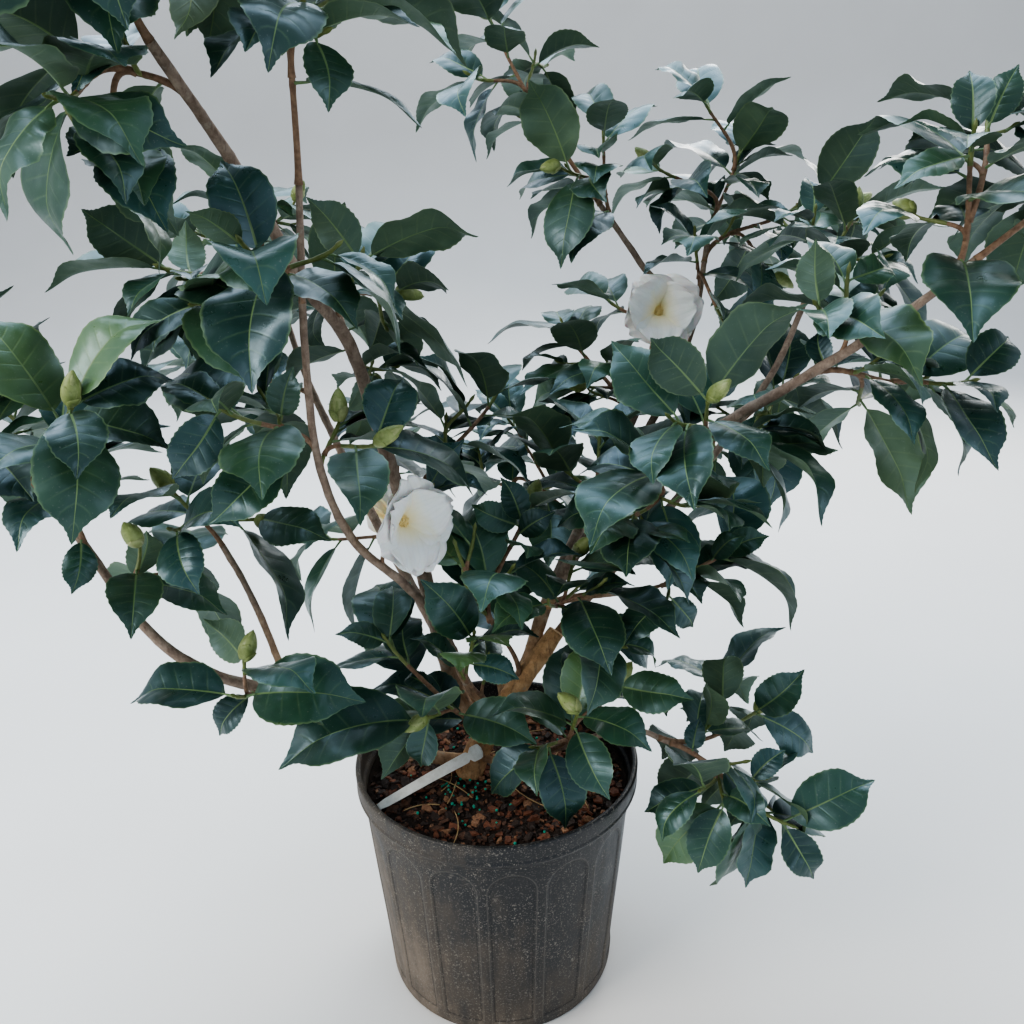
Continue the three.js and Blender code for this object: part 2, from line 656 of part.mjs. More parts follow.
// A tapering tube with flat ends; `scale` and `swell` widen it and `flare` spreads its foot
function tube(wood, sides, { scale = 1, swell = 0, flare = 1 } = {}) {
  const { path } = wood;
  let reference = anySquareTo(path[1].clone().sub(path[0]).normalize());
  const rings = path.map((point, i) => {
    const before = path[Math.max(0, i - 1)];
    const after = path[Math.min(path.length - 1, i + 1)];
    const axis = i === 0 && flare > 1 ? UP : after.clone().sub(before).normalize();
    const radius = radiusAt(wood, wood.marks[i]) * scale * (i === 0 ? flare : 1) + swell;
    const ring = circle(point, axis, reference, radius, sides);
    reference = ring[0].clone().sub(point);
    return ring;
  });
  return loft(rings);
}

// A thin kite on a bent midrib: its root is sunk in the twig and its tip is sharp
function leafSolid(leaf) {
  const { middle, upper, side } = leafFrame(leaf, LEAF.widestShare);
  const half = leaf.halfWidth * LEAF.kiteWidth;
  const widest = [
    moved(middle, [half, side], [half * LEAF.fold, upper]),
    moved(middle, [-LEAF.rib, upper]),
    moved(middle, [-half, side], [half * LEAF.fold, upper]),
  ];
  return loft([[leafFrame(leaf, LEAF.rootShare).middle], widest, [leafFrame(leaf, 1).middle]]);
}

function budSolid(knob) {
  const { foot, axis } = knob;
  const reference = anySquareTo(axis);
  const ring = (share, radius) => (
    circle(moved(foot, [BUD.length * share, axis]), axis, reference, BUD.radius * radius, BUD.sides)
  );
  return loft([[foot], ring(0.34, 1), ring(0.68, 0.76), [moved(foot, [BUD.length, axis])]]);
}

function flowerSolid(knob) {
  const { foot, axis } = knob;
  const rings = FLOWER.rings.map(([petal, notch, height]) => {
    const ring = circle(moved(foot, [height, axis]), axis, anySquareTo(axis), petal, FLOWER.petals * 2);
    const centre = moved(foot, [height, axis]);
    return ring.map((point, i) => (i % 2 ? centre.clone().lerp(point, notch / petal) : point));
  });
  return loft(rings);
}

// Joining and cutting

const joined = (solids) => solids.reduce((whole, solid) => whole.add(solid));
const cutBy = (solid, cutters) => cutters.reduce((left, cutter) => left.subtract(cutter), solid);

// The largest body of a solid, which drops loose scraps and fills sealed hollows
function mainBody(solid) {
  return solid.decompose().reduce((largest, body) => (body.volume() > largest.volume() ? body : largest));
}

// Meshes

const BARK = { color: 0x6b5644, roughness: 0.85, metalness: 0 };
const LOOKS = {
  pot: { color: 0x23262b, roughness: 0.55, metalness: 0 },
  soil: { color: 0x3a2118, roughness: 0.95, metalness: 0 },
  plant_tag: { color: 0xe9eae4, roughness: 0.45, metalness: 0 },
  trunk: { color: 0x9c7752, roughness: 0.85, metalness: 0 },
  leaves: { color: 0x24492f, roughness: 0.38, metalness: 0 },
};

function meshOf(name, solid, look) {
  const { vertProperties, triVerts } = solid.getMesh();
  const geometry = new THREE.BufferGeometry();
  geometry.setAttribute('position', new THREE.BufferAttribute(vertProperties, 3));
  geometry.setIndex(new THREE.BufferAttribute(triVerts, 1));
  geometry.computeVertexNormals();
  const mesh = new THREE.Mesh(geometry, new THREE.MeshStandardMaterial(look));
  mesh.name = name;
  return mesh;
}

// Pot: a lathed wall, floor and rim band, with arched panels pressed into the wall

function latheSolid(profile) {
  const geometry = new THREE.LatheGeometry(profile.map(([r, z]) => new THREE.Vector2(r, z)), POT.facets);
  return solidOfGeometry(geometry.rotateX(Math.PI / 2));
}

function wallRadius(z) {
  return mix(POT.baseRadius, POT.wallTopRadius, z / POT.wallTop);
}

function potSolid() {
  const inner = POT.topRadius - POT.lip;
  const body = latheSolid([
    [0, 0],
    [POT.baseRadius - POT.edge, 0],
    [wallRadius(POT.edge), POT.edge],
    [POT.wallTopRadius, POT.wallTop],
    [POT.bandRadius, POT.bandBottom],
    [POT.topRadius, POT.height - POT.edge],
    [POT.topRadius - POT.edge, POT.height],
    [inner, POT.height],
    [inner, POT.bandBottom + POT.edge],
    [wallRadius(SOIL.top) - POT.wall, SOIL.top],
    [wallRadius(POT.floor) - POT.wall, POT.floor],
    [0, POT.floor],
  ]);
  return body.subtract(panelCutter());
}

function panelCutter() {
  const half = POT.wallTopRadius * Math.sin(radians(POT.panelAngle / 2));
  const spring = POT.panelTop - half;
  const arch = new THREE.Shape();
  arch.moveTo(-half, POT.panelBottom);
  arch.lineTo(half, POT.panelBottom);
  for (let i = 0; i <= POT.panelArcSteps; i += 1) {
    const angle = (Math.PI * i) / POT.panelArcSteps;
    arch.lineTo(half * Math.cos(angle), spring + half * Math.sin(angle));
  }
  const prism = new THREE.ExtrudeGeometry(arch, { depth: POT.topRadius * 2, bevelEnabled: false });
  prism.rotateX(Math.PI / 2);
  const outside = POT.topRadius + POT.panelDepth;
  const shell = latheSolid([
    [wallRadius(0) - POT.panelDepth, 0],
    [outside, 0],
    [outside, POT.wallTop],
    [POT.wallTopRadius - POT.panelDepth, POT.wallTop],
    [wallRadius(0) - POT.panelDepth, 0],
  ]);
  const arches = [];
  for (let i = 0; i < POT.panels; i += 1) {
    arches.push(solidOfGeometry(prism.clone()).rotate([0, 0, POT.panelTurn + (i * 360) / POT.panels]));
  }
  return shell.intersect(joined(arches));
}

function soilSolid() {
  const bottom = POT.floor + GAP;
  return latheSolid([
    [0, bottom],
    [wallRadius(bottom) - POT.wall - GAP, bottom],
    [wallRadius(SOIL.top) - POT.wall - GAP, SOIL.top],
    [0, SOIL.top],
  ]);
}

// Tag: a blank strip, narrow at its neck and wider at its head, that leans from the soil to the trunk
function tagSolid() {
  const wood = makeWood(smoothPath(TAG.points, pathLength(TAG.points.map(vec)) / TAG.steps), 1, 1);
  const headFoot = wood.length - TAG.headLength;
  const below = wood.marks.filter((mark) => mark < headFoot - 2 * TAG.notch);
  const stations = below.map((mark) => [mark, TAG.width]);
  stations.push([headFoot - TAG.notch, TAG.width], [headFoot, TAG.neck]);
  stations.push([headFoot + TAG.notch / 2, TAG.head], [wood.length, TAG.end]);
  const rings = stations.map(([distance, width]) => {
    const { point, tangent } = placeAt(wood, distance);
    const face = vec(TAG.faceAtFoot).lerp(vec(TAG.faceAtHead), distance / wood.length);
    const upper = moved(face, [-face.dot(tangent), tangent]).normalize();
    const side = new THREE.Vector3().crossVectors(tangent, upper);
    const [half, thick] = [width / 2, TAG.thickness / 2];
    return [
      moved(point, [half, side], [thick, upper]),
      moved(point, [half, side], [-thick, upper]),
      moved(point, [-half, side], [-thick, upper]),
      moved(point, [-half, side], [thick, upper]),
    ];
  });
  return loft(rings);
}

// Growing it all

const trunk = makeWood(smoothPath(TRUNK.points, TRUNK.step), TRUNK.foot, TRUNK.tip, TRUNK.name);
const limbs = [trunk];
for (const bough of BOUGHS) {
  limbs.push(makeWood(smoothPath(bough.points, BOUGH.step), bough.foot, bough.tip, bough.name));
}

const shrub = makeShrub(limbs, []);
for (const mass of MASSES) {
  const bough = limbs.find((limb) => limb.owner === mass.from);
  const [stem, ...forked] = growShoots(mass, bough);
  mass.shoots = [stem, ...forked.filter((shoot) => shootHasRoom(shoot, shrub))];
  shrub.shoots.push(...mass.shoots);
}

function flowerKnob(mass, foot) {
  const axis = vec(mass.flower).normalize();
  const centre = moved(foot, [FLOWER.radius * FLOWER.heart, axis]);
  return { owner: mass.name, kind: 'flower', foot, axis, centre, radius: FLOWER.radius };
}

function budKnob(mass, tip, tangent, leanDraw) {
  const lean = turnedAbout(anySquareTo(tangent), tangent, 2 * Math.PI * leanDraw);
  const axis = moved(tangent, [BUD.lean, lean]).normalize();
  const foot = moved(tip, [-TWIG.tipRadius * 2, tangent]);
  const centre = moved(foot, [BUD.length / 2, axis]);
  return { owner: mass.name, kind: 'bud', foot, axis, centre, radius: BUD.length / 2 };
}

// A bud or a flower at the end of some shoots, and the leaves that each shoot wants
const wanted = [];
MASSES.forEach((mass, index) => {
  const random = randomNumbers(1000 + 77 * index);
  mass.shoots.forEach((shoot, order) => {
    shoot.phase = 360 * random();
    const [budDraw, leanDraw] = [random(), random()];
    const { point, tangent } = placeAt(shoot, shoot.length);
    if (mass.flower && order === 0) {
      shrub.knobs.push(flowerKnob(mass, point));
    } else if (budDraw < BUD.share) {
      shrub.knobs.push(budKnob(mass, point, tangent, leanDraw));
    }
    LEAF.spacing.forEach((spacing, rank) => {
      const draws = [random(), random(), random(), random(), random(), random()];
      const fits = rank < LEAF.perShoot && spacing < shoot.length - LEAF.bareRoot;
      if (fits) wanted.push({ shoot, rank, draws });
    });
  });
});

// The shown leaves grow first, each at the first shift that leaves it room
for (const mass of MASSES) {
  for (const row of mass.shown ?? []) {
    const tries = CLEAR.shifts.map((shift) => leafInView(mass, row, shift));
    const leaf = tries.find((candidate) => leafHasRoom(candidate, shrub));
    if (leaf) {
      shrub.leaves.push(leaf);
      shrub.spots.push(...LEAF.shownShares.map((share) => leafFrame(leaf, share).middle));
    }
  }
}

// Of the others, those nearest the tips grow first, each at the first turn that leaves it room
wanted.sort((a, b) => a.rank - b.rank);
for (const { shoot, rank, draws } of wanted) {
  const tries = CLEAR.turns.map((turn) => leafOn(shoot, rank, draws, turn));
  const leaf = tries.find((candidate) => leafHasRoom(candidate, shrub));
  if (leaf) shrub.leaves.push(leaf);
}

// Assembly

const group = new THREE.Group();
group.add(meshOf('pot', potSolid(), LOOKS.pot));
group.add(meshOf('soil', soilSolid(), LOOKS.soil));
group.add(meshOf('plant_tag', tagSolid(), LOOKS.plant_tag));

// Each limb is cut clear of the ones before it
const cutters = [];
for (const limb of limbs) {
  const isTrunk = limb === trunk;
  const sides = isTrunk ? TRUNK.sides : BOUGH.sides;
  const flare = isTrunk ? TRUNK.flare : 1;
  const solid = mainBody(cutBy(tube(limb, sides, { flare }), cutters));
  cutters.push(tube(limb, sides, { flare, swell: GAP }));
  group.add(meshOf(limb.owner, solid, isTrunk ? LOOKS.trunk : BARK));
}

// Each mass is its twigs, leaves, buds and blossom in one solid, and its stem is cut clear of the limbs
for (const mass of MASSES) {
  const tubes = mass.shoots.map((shoot) => tube(shoot, TWIG.sides, { scale: TWIG.solid }));
  const leaves = shrub.leaves.filter((leaf) => leaf.owner === mass.name);
  const knobs = shrub.knobs.filter((knob) => knob.owner === mass.name);
  const pieces = [
    mainBody(cutBy(joined(tubes), cutters)),
    ...leaves.map((leaf) => leafSolid(leaf)),
    ...knobs.map((knob) => (knob.kind === 'bud' ? budSolid(knob) : flowerSolid(knob))),
  ];
  group.add(meshOf(mass.name, mainBody(joined(pieces)), LOOKS.leaves));
}

export default group;
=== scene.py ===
# The looks of a camellia shrub in its black nursery pot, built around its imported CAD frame. Leaves, shoots,
# buds and flowers grow by the rule of the part's source, and stand where the solids have them.
import math
import random

import bpy
import numpy as np
from mathutils import Matrix


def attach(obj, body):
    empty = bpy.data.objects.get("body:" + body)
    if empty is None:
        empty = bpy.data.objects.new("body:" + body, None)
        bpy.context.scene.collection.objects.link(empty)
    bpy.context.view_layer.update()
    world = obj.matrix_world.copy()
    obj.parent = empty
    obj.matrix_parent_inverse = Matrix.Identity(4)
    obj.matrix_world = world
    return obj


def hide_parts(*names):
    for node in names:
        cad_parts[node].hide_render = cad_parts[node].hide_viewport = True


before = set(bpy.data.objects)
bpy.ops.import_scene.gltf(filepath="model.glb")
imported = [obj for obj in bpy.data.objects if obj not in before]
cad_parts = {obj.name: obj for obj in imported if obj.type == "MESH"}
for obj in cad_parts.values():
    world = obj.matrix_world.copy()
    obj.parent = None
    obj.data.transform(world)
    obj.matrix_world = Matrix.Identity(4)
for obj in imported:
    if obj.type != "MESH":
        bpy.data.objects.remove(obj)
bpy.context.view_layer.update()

# Driving dimensions, in millimetres, as in the part's source

MM = 0.001
GAP = 0.3
UP = np.array([0.0, 0.0, 1.0])
TURN = 2 * math.pi
SEEDS = dict(first_mass=1000, mass_step=77, fill=31, soil=215, limbs=7, knobs=24)

POT = dict(
    height=241, base_radius=116.5, wall_top_radius=133.5, wall_top=214, top_radius=140, lip=5.5, wall=2.6,
    floor=3, panels=15, panel_angle=19, panel_turn=6, panel_depth=1.5, panel_bottom=12, panel_top=203,
)

SOIL_TOP = 215

TAG = dict(
    points=[[-114, -50, 215.9], [-62, -26, 233], [-14, -17, 256]],
    face_at_foot=[0, 0, 1], face_at_head=[-0.2, -0.6, 0.75],
    thickness=0.8, width=12, neck=7, head=16, head_length=14,
)

TWIG = dict(
    step=55, feel=6, solid=1.5, tip_radius=1.4, growth=0.011, fork_angle=50, fork_step=4,
    fork_highest=0.94, fork_lowest=0.35, shortest=48, lead=0.35, upturn=0.35,
)

LEAF = dict(
    length=98, length_spread=0.4, youngest=0.8, half_width=0.265, width_spread=0.2, fold=0.14,
    golden_angle=137.5, spacing=[7, 13, 21, 32, 47, 66, 90, 118], cad_ranks=4, bare_root=22,
    pitch_at_tip=36, pitch_step=7, pitch_most=74, pitch_spread=16, turn_spread=40, bend=0.3,
    bend_spread=0.6, droop=0.12, adaxial=0.4, skyward=0.8, roll=0.7,
    shown_root=4, shown_shortest=46, shown_angle=95, shown_bend=0.55,
    shown_shares=[0.3, 0.5, 0.7, 0.88],
)

BUD = dict(length=27, radius=8, share=0.27, lean=0.5)
FLOWER = dict(radius=46, heart=0.4)

CLEAR = dict(
    other_leaf=10, own_leaf=6, other_wood=8, own_wood=5, shoot=2, knob=3, pot=7, sight=9, ease=0.5,
    turns=[0, 34, -34, 68, -68], shifts=[0, 12, -12, 24, -24, 36, -36, 50, -50],
)

# Leaves and side twigs finer than the source's
FILL = dict(
    size=0.78, ease=0.6, turns=[17, -17, 51, -51, 90, -90, 130], spacing=[6, 13, 22], bare=12,
    twig_gap=34, twig_foot=30, twig_length=[24, 44], twig_angle=[38, 58], twig_room=4, twig_share=0.62,
)

FEEL = dict(
    along=[0.12, 0.27, 0.42, 0.56, 0.7, 0.84, 0.98], across=[-0.9, -0.45, 0, 0.45, 0.9],
    root_rows=1, heart=0.55,
)

TRUNK = dict(
    name="trunk", foot=12.5, tip=8.2, flare=1.35, step=26,
    points=[[-28, 4, SOIL_TOP + GAP], [-12, 4, 256], [14, 5, 300], [38, 10, 334], [61, 20, 364]],
)

BOUGH_STEP = 56

BOUGHS = [
    dict(name="bough_low_left", foot=7, tip=3.4, points=[
        [-31, 2, 228], [-75, -8, 246], [-125, -30, 280], [-175, -60, 345], [-240, -80, 382],
        [-285, -90, 430], [-330, -90, 520]]),
    dict(name="bough_left_inner", foot=3.4, tip=2.6, points=[
        [-180, -61, 348], [-188, -62, 382], [-197, -65, 425], [-209, -67, 466], [-223, -64, 496]]),
    dict(name="bough_upright", foot=8.6, tip=3.6, points=[
        [-12, 5, 258], [-42, 18, 312], [-69, 30, 439], [-95, 30, 549], [-116, 10, 649],
        [-143, -20, 703], [-171, -60, 783], [-202, -130, 867]]),
    dict(name="bough_slender", foot=4.6, tip=2.4, points=[
        [2, 4, 282], [-24, -14, 325], [-47, -30, 400], [-74, -50, 450], [-112, -70, 501],
        [-132, -80, 570], [-130, -100, 665], [-120, -115, 780]]),
    dict(name="bough_right", foot=6.8, tip=3.2, points=[
        [31, 9, 325], [49, 36, 378], [72, 31, 428], [101, 10, 479], [184, -10, 564], [252, -30, 615],
        [320, -50, 667], [375, -60, 716]]),
    dict(name="bough_low_right", foot=3.6, tip=2.6, points=[
        [-20, 2, 236], [5, -14, 241], [60, -26, 262], [125, -30, 285], [165, -40, 276]]),
    dict(name="bough_centre", foot=4.4, tip=3, points=[
        [51, 36, 385], [76, 16, 402], [106, 3, 412], [140, 2, 416]]),
    dict(name="bough_back_centre", foot=7, tip=3, points=[
        [26, 8, 318], [58, 60, 388], [110, 130, 470], [161, 200, 549], [189, 260, 647],
        [168, 280, 686], [125, 300, 747]]),
    dict(name="bough_back_right", foot=5, tip=3, points=[
        [96, 111, 446], [170, 190, 520], [225, 260, 610], [250, 320, 700]]),
    dict(name="bough_right_rear", foot=5.4, tip=3, points=[
        [20, 6, 309], [90, 52, 380], [200, 110, 480], [285, 150, 580], [325, 175, 660]]),
    dict(name="bough_back_left", foot=6.4, tip=3, points=[
        [-8, 5, 263], [-55, 70, 330], [-130, 150, 440], [-200, 220, 570], [-235, 260, 670]]),
    dict(name="bough_back", foot=5, tip=3, points=[
        [10, 5, 294], [-2, 80, 335], [8, 170, 385], [22, 240, 440]]),
]


def mass(name, stem_from, *tips, at_end=False, flower=None, shown=()):
    return dict(name="leaves_" + name, stem_from=stem_from, tips=tips, at_end=at_end, flower=flower,
                shown=shown)


# Masses of foliage: the stem ends at the first tip, and a shoot forks from it to each other tip. Leaves that
# are seen plainly from the front are shown by their tips, and by how far each one's upper side turns from the
# sky (0) to the viewer (1), or away from the viewer (below 0).
MASSES = [
    mass("far_left", "bough_low_left", [-430, -55, 640], [-385, -130, 610], [-395, -10, 600],
         at_end=True),
    mass("left_rosette", "bough_low_left", [-320, -105, 605], [-285, -150, 640],
         shown=[[-225, -130, 705, 0.3], [-225, -105, 655, 0.5], [-340, -90, 465, 0.9]]),
    mass("low_left", "bough_low_left", [-265, -125, 525], [-262, -50, 480],
         shown=[[-265, -105, 530, -0.8]]),
    mass("low_left_under", "bough_low_left", [-210, -122, 386], [-202, -112, 416],
         shown=[[-310, -105, 385, 0.3], [-230, -110, 450, -0.7], [-240, -100, 330, 0.5]]),
    mass("left_inner", "bough_left_inner", [-261, -60, 548], [-243, -112, 530], [-194, -50, 515],
         at_end=True,
         shown=[[-130, -75, 510, 0.5]]),
    mass("upright_inner", "bough_upright", [-98, -5, 722], [-75, 45, 690],
         shown=[[-140, 5, 770, -0.85], [0, -25, 750, -0.4], [-25, -10, 700, -0.5]]),
    mass("upright_left", "bough_upright", [-240, -60, 722], [-205, -100, 700], [-200, -20, 680],
         shown=[[-285, -85, 770, -0.85], [-230, -15, 755, -0.8], [-325, -80, 715, 0]]),
    mass("upright_rear", "bough_upright", [-150, 130, 690], [-110, 110, 600]),
    mass("top_left", "bough_upright", [-290, -125, 872], [-235, -205, 830], [-230, -150, 785]),
    mass("top", "bough_upright", [-215, -150, 985], [-165, -90, 950], [-205, -225, 905], at_end=True),
    mass("slender_side", "bough_slender", [-195, -115, 628], [-150, -125, 590], [-165, -50, 610],
         shown=[[-230, -140, 580, 0.85], [-145, -80, 650, 0.9]]),
    mass("slender_low", "bough_slender", [-118, -52, 600], [-84, -84, 588],
         shown=[[-65, -55, 640, 0.9]]),
    mass("slender_mid", "bough_slender", [-150, -160, 745], [-95, -140, 740],
         shown=[[-175, -185, 770, -0.5]]),
    mass("slender_top", "bough_slender", [-118, -120, 960], [-85, -85, 905], [-95, -165, 890],
         at_end=True),
    mass("flower_left", "bough_slender", [-78, -62, 516], flower=[0.72, -0.68, 0.08]),
    mass("centre_left", "trunk", [-14, -34, 436], [-46, -66, 432], [18, -54, 464], [38, 4, 508],
         [-28, -56, 488],
         shown=[[-20, 0, 505, 0.95], [55, -25, 505, 0.95], [10, 20, 525, 0.9]]),
    mass("centre", "bough_centre", [50, -60, 436], [98, -48, 448], [112, -64, 394], [76, -22, 466],
         shown=[[120, -50, 450, 0.3]]),
    mass("centre_right", "bough_centre", [185, -5, 438], [145, 38, 466], [226, 16, 454],
         [156, -40, 424], at_end=True,
         shown=[[190, -20, 385, 0.7], [230, -5, 475, 0.6], [255, 0, 470, 0.8]]),
    mass("centre_back", "bough_right", [106, 70, 554], [64, 46, 530], [130, 54, 508]),
    mass("inner_rear", "bough_upright", [10, 92, 590], [-42, 84, 560]),
    mass("front", "trunk", [-46, -56, 340], [-94, -52, 398], [-62, -72, 330],
         shown=[[-190, -110, 310, 0.4], [40, -80, 310, 0.75], [-85, -35, 355, 0.5],
                [-70, -70, 275, 0.5], [-105, -75, 270, -0.5], [-135, -65, 415, 0.5]]),
    mass("front_centre", "trunk", [-30, -60, 374], [-16, -52, 400],
         shown=[[-55, -85, 470, 0.9], [25, -60, 360, 0.8]]),
    mass("front_right", "bough_low_right", [76, -80, 340], [38, -72, 296], [112, -58, 352],
         shown=[[175, -85, 355, 0.6], [100, -115, 270, 0.85], [65, -100, 225, 0.85]]),
    mass("low_right", "bough_low_right", [268, -85, 216], [210, -88, 242], [184, -94, 262],
         [252, -48, 238], at_end=True,
         shown=[[155, -80, 165, 0.9], [185, -105, 175, 0.85], [350, -75, 260, 0.9],
                [295, -110, 170, 0.9], [275, -45, 270, 0.9], [190, -40, 300, 0.9]]),
    mass("low_right_upper", "bough_low_right", [258, -2, 284], [224, 26, 306],
         shown=[[320, -15, 240, 0.5], [305, 15, 320, 0.9]]),
    mass("right_low", "bough_right", [176, -34, 512], [116, -46, 506], [138, -52, 556]),
    mass("right_inner", "bough_right", [178, -64, 614], [150, -58, 596], [236, -30, 560],
         shown=[[245, -60, 695, -0.5], [125, -60, 665, -0.8]]),
    mass("right_upper", "bough_right", [290, -30, 702], [255, -70, 685],
         shown=[[255, -55, 735, -0.7], [335, -10, 710, 0.7]]),
    mass("right_mid", "bough_right", [375, 0, 612], [395, -40, 618], [330, 20, 585],
         shown=[[270, -30, 655, 0.9], [445, -10, 655, 0.8]]),
    mass("right_tip", "bough_right", [465, -62, 808], [425, -90, 770], [440, -20, 765], at_end=True),
    mass("right_top", "bough_right", [350, -80, 805], [330, -35, 750], [390, -15, 830],
         shown=[[350, -60, 850, 0.8], [395, -40, 855, 0.7], [295, -85, 775, 0.4],
                [275, -90, 750, 0.4]]),
    mass("right_rear_tip", "bough_right_rear", [370, 190, 740], [310, 230, 730], [385, 140, 700],
         at_end=True),
    mass("right_rear", "bough_right_rear", [330, 210, 560], [270, 90, 560], [230, 190, 500]),
    mass("back_top", "bough_back_centre", [5, 325, 940], [-15, 300, 880], [55, 345, 900], at_end=True),
    mass("back_upper", "bough_back_centre", [125, 290, 830], [75, 255, 790]),
    mass("flower_right", "bough_back_centre", [180, 228, 640], [125, 245, 655],
         flower=[0.05, -1, 0.15]),
    mass("back_mid", "bough_back_centre", [80, 255, 625], [100, 205, 565], [150, 175, 600]),
    mass("back_right_top", "bough_back_right", [290, 350, 805], [240, 340, 860], [185, 330, 790],
         at_end=True),
    mass("back_right_outer", "bough_back_right", [365, 350, 745], [445, 385, 740], [330, 310, 665]),
    mass("back_right_inner", "bough_back_right", [225, 265, 715], [260, 225, 620]),
    mass("back_left_tip", "bough_back_left", [-270, 290, 775], [-210, 290, 760], [-310, 240, 730],
         at_end=True),
    mass("back_left_outer", "bough_back_left", [-320, 200, 600], [-260, 170, 650]),
    mass("back_left_low", "bough_back_left", [-112, 195, 412], [-110, 260, 520], [-200, 170, 410],
         flower=[-0.3, 1, 0.1]),
    mass("back", "bough_back", [118, 245, 392], [-40, 270, 450], [30, 300, 490], at_end=True),
]

# The place of the viewer before the shrub
VIEWER = np.array([20.0, -777.0, 789.0])

# Spots that no other leaf may hide from the viewer: tag, soil, stub, blossoms and gaps
OPEN_SPOTS = [
    [-108, -50, 217], [-86, -38, 225], [-62, -26, 233], [-38, -22, 244], [-16, -17, 254],
    [-10, -100, 215], [40, -105, 215], [-60, -90, 215], [60, -100, 215], [-30, -70, 215], [10, -70, 215],
    [61, 20, 364], [48, 14, 348], [-28, 4, 222], [-20, 4, 240],
    [-60, -104, 520], [-84, -104, 520], [-72, -104, 545], [-74, -104, 496],
    [180, 190, 655], [160, 190, 655], [200, 190, 655], [180, 190, 680],
]


# Small vector and path tools


def unit(v):
    return v / math.sqrt(v @ v)


def mix(a, b, t):
    return a + (b - a) * t


def smooth(low, high, value):
    t = np.clip((value - low) / (high - low), 0, 1)
    return t * t * (3 - 2 * t)


def any_square_to(direction):
    other = UP if abs(direction[2]) < 0.9 else np.array([1.0, 0.0, 0.0])
    return unit(np.cross(direction, other))


def turned(vector, axis, angle):
    """vector turned about a unit axis"""
    c, s = math.cos(angle), math.sin(angle)
    return vector * c + np.cross(axis, vector) * s + axis * ((axis @ vector) * (1 - c))


def path_length(points):
    return sum(math.dist(a, b) for a, b in zip(points, points[1:]))


def marks_along(path):
    """The distance of each point of a path from its first, along the path"""
    return np.concatenate([[0], np.cumsum(np.linalg.norm(np.diff(path, axis=0), axis=1))])


def gaps_to_lines(points, starts, ways):
    """The distance from each point, in rows, to each piece of line, in columns"""
    ap = points[:, None, :] - starts
    share = np.clip((ap * ways).sum(2) / (ways ** 2).sum(1), 0, 1)
    return np.linalg.norm(ap - share[..., None] * ways, axis=2)


def smooth_path(points, steps):
    """The same evenly weighted spline through waypoints as the source draws"""
    p = np.array(points, float)
    p = np.vstack([2 * p[0] - p[1], p, 2 * p[-1] - p[-2]])
    out = []
    for i in range(steps + 1):
        place = (len(points) - 1) * i / steps
        k = min(int(place), len(points) - 2)
        t = place - k
        a, b, c, d = p[k:k + 4]
        m, n = 0.5 * (c - a), 0.5 * (d - b)
        out.append(b + m * t + (3 * (c - b) - 2 * m - n) * t * t + (2 * (b - c) + m + n) * t ** 3)
    return np.array(out)


def bezier(start, lead, back, tip, steps):
    t = np.linspace(0, 1, steps + 1)[:, None]
    return (1 - t) ** 3 * start + 3 * (1 - t) ** 2 * t * lead + 3 * (1 - t) * t * t * back + t ** 3 * tip


def random_numbers(seed):
    """The source's seeded numbers between 0 and 1"""
    state = seed
    while True:
        state = state * 48271 % 2147483647
        yield state / 2147483647


# Wood: a limb or twig is a path with a radius that tapers evenly from foot to tip. `rough` is the source's
# path of straight steps, which every test of clear space uses, and `fine` is the same path drawn smoothly.


class Wood:
    def __init__(self, rough, fine, foot, tip, owner):
        self.path, self.fine, self.foot, self.tip, self.owner = rough, fine, foot, tip, owner
        self.marks = marks_along(rough)
        self.length = self.marks[-1]

    def radius_at(self, distance):
        return mix(self.foot, self.tip, distance / self.length)

    def place_at(self, distance):
        i = 1
        while i < len(self.path) - 1 and self.marks[i] < distance:
            i += 1
        a, b = self.path[i - 1], self.path[i]
        share = (distance - self.marks[i - 1]) / (self.marks[i] - self.marks[i - 1])
        return a + (b - a) * share, unit(b - a)

    def fine_place_at(self, distance):
        """The point of the smooth path that stands for a distance along the rough one"""
        i = min(max(int(np.searchsorted(self.marks, distance)), 1), len(self.path) - 1)
        steps = i - 1 + (distance - self.marks[i - 1]) / (self.marks[i] - self.marks[i - 1])
        place = steps / (len(self.path) - 1) * (len(self.fine) - 1)
        k = min(int(place), len(self.fine) - 2)
        return self.fine[k] + (self.fine[k + 1] - self.fine[k]) * (place - k)


FINE_STEP = 4


def limb_wood(limb, step):
    points = limb["points"]
    length = path_length(points)
    rough = smooth_path(points, max(2, round(length / step)))
    fine = smooth_path(points, max(2, round(length / FINE_STEP)))
    return Wood(rough, fine, limb["foot"], limb["tip"], limb["name"])


def fork_distance(wood, tip, highest, lowest, shortest, most):
    """The highest place, from highest down, from which tip is reached without a fork sharper than most"""
    distance = highest
    while distance > lowest:
        point, tangent = wood.place_at(distance)
        way = tip - point
        reach = math.sqrt(way @ way)
        angle = math.degrees(math.acos(max(-1, min(1, way @ tangent / reach))))
        if reach >= shortest and angle <= most:
            return distance
        distance -= TWIG["fork_step"]
    return lowest


def shoot_fork_distance(wood, tip, lowest):
    highest = wood.length * TWIG["fork_highest"]
    return fork_distance(wood, tip, highest, lowest, TWIG["shortest"], TWIG["fork_angle"])


def leaf_fork_distance(wood, tip):
    highest = wood.length - LEAF["shown_root"]
    return fork_distance(wood, tip, highest, LEAF["bare_root"], LEAF["shown_shortest"], LEAF["shown_angle"])


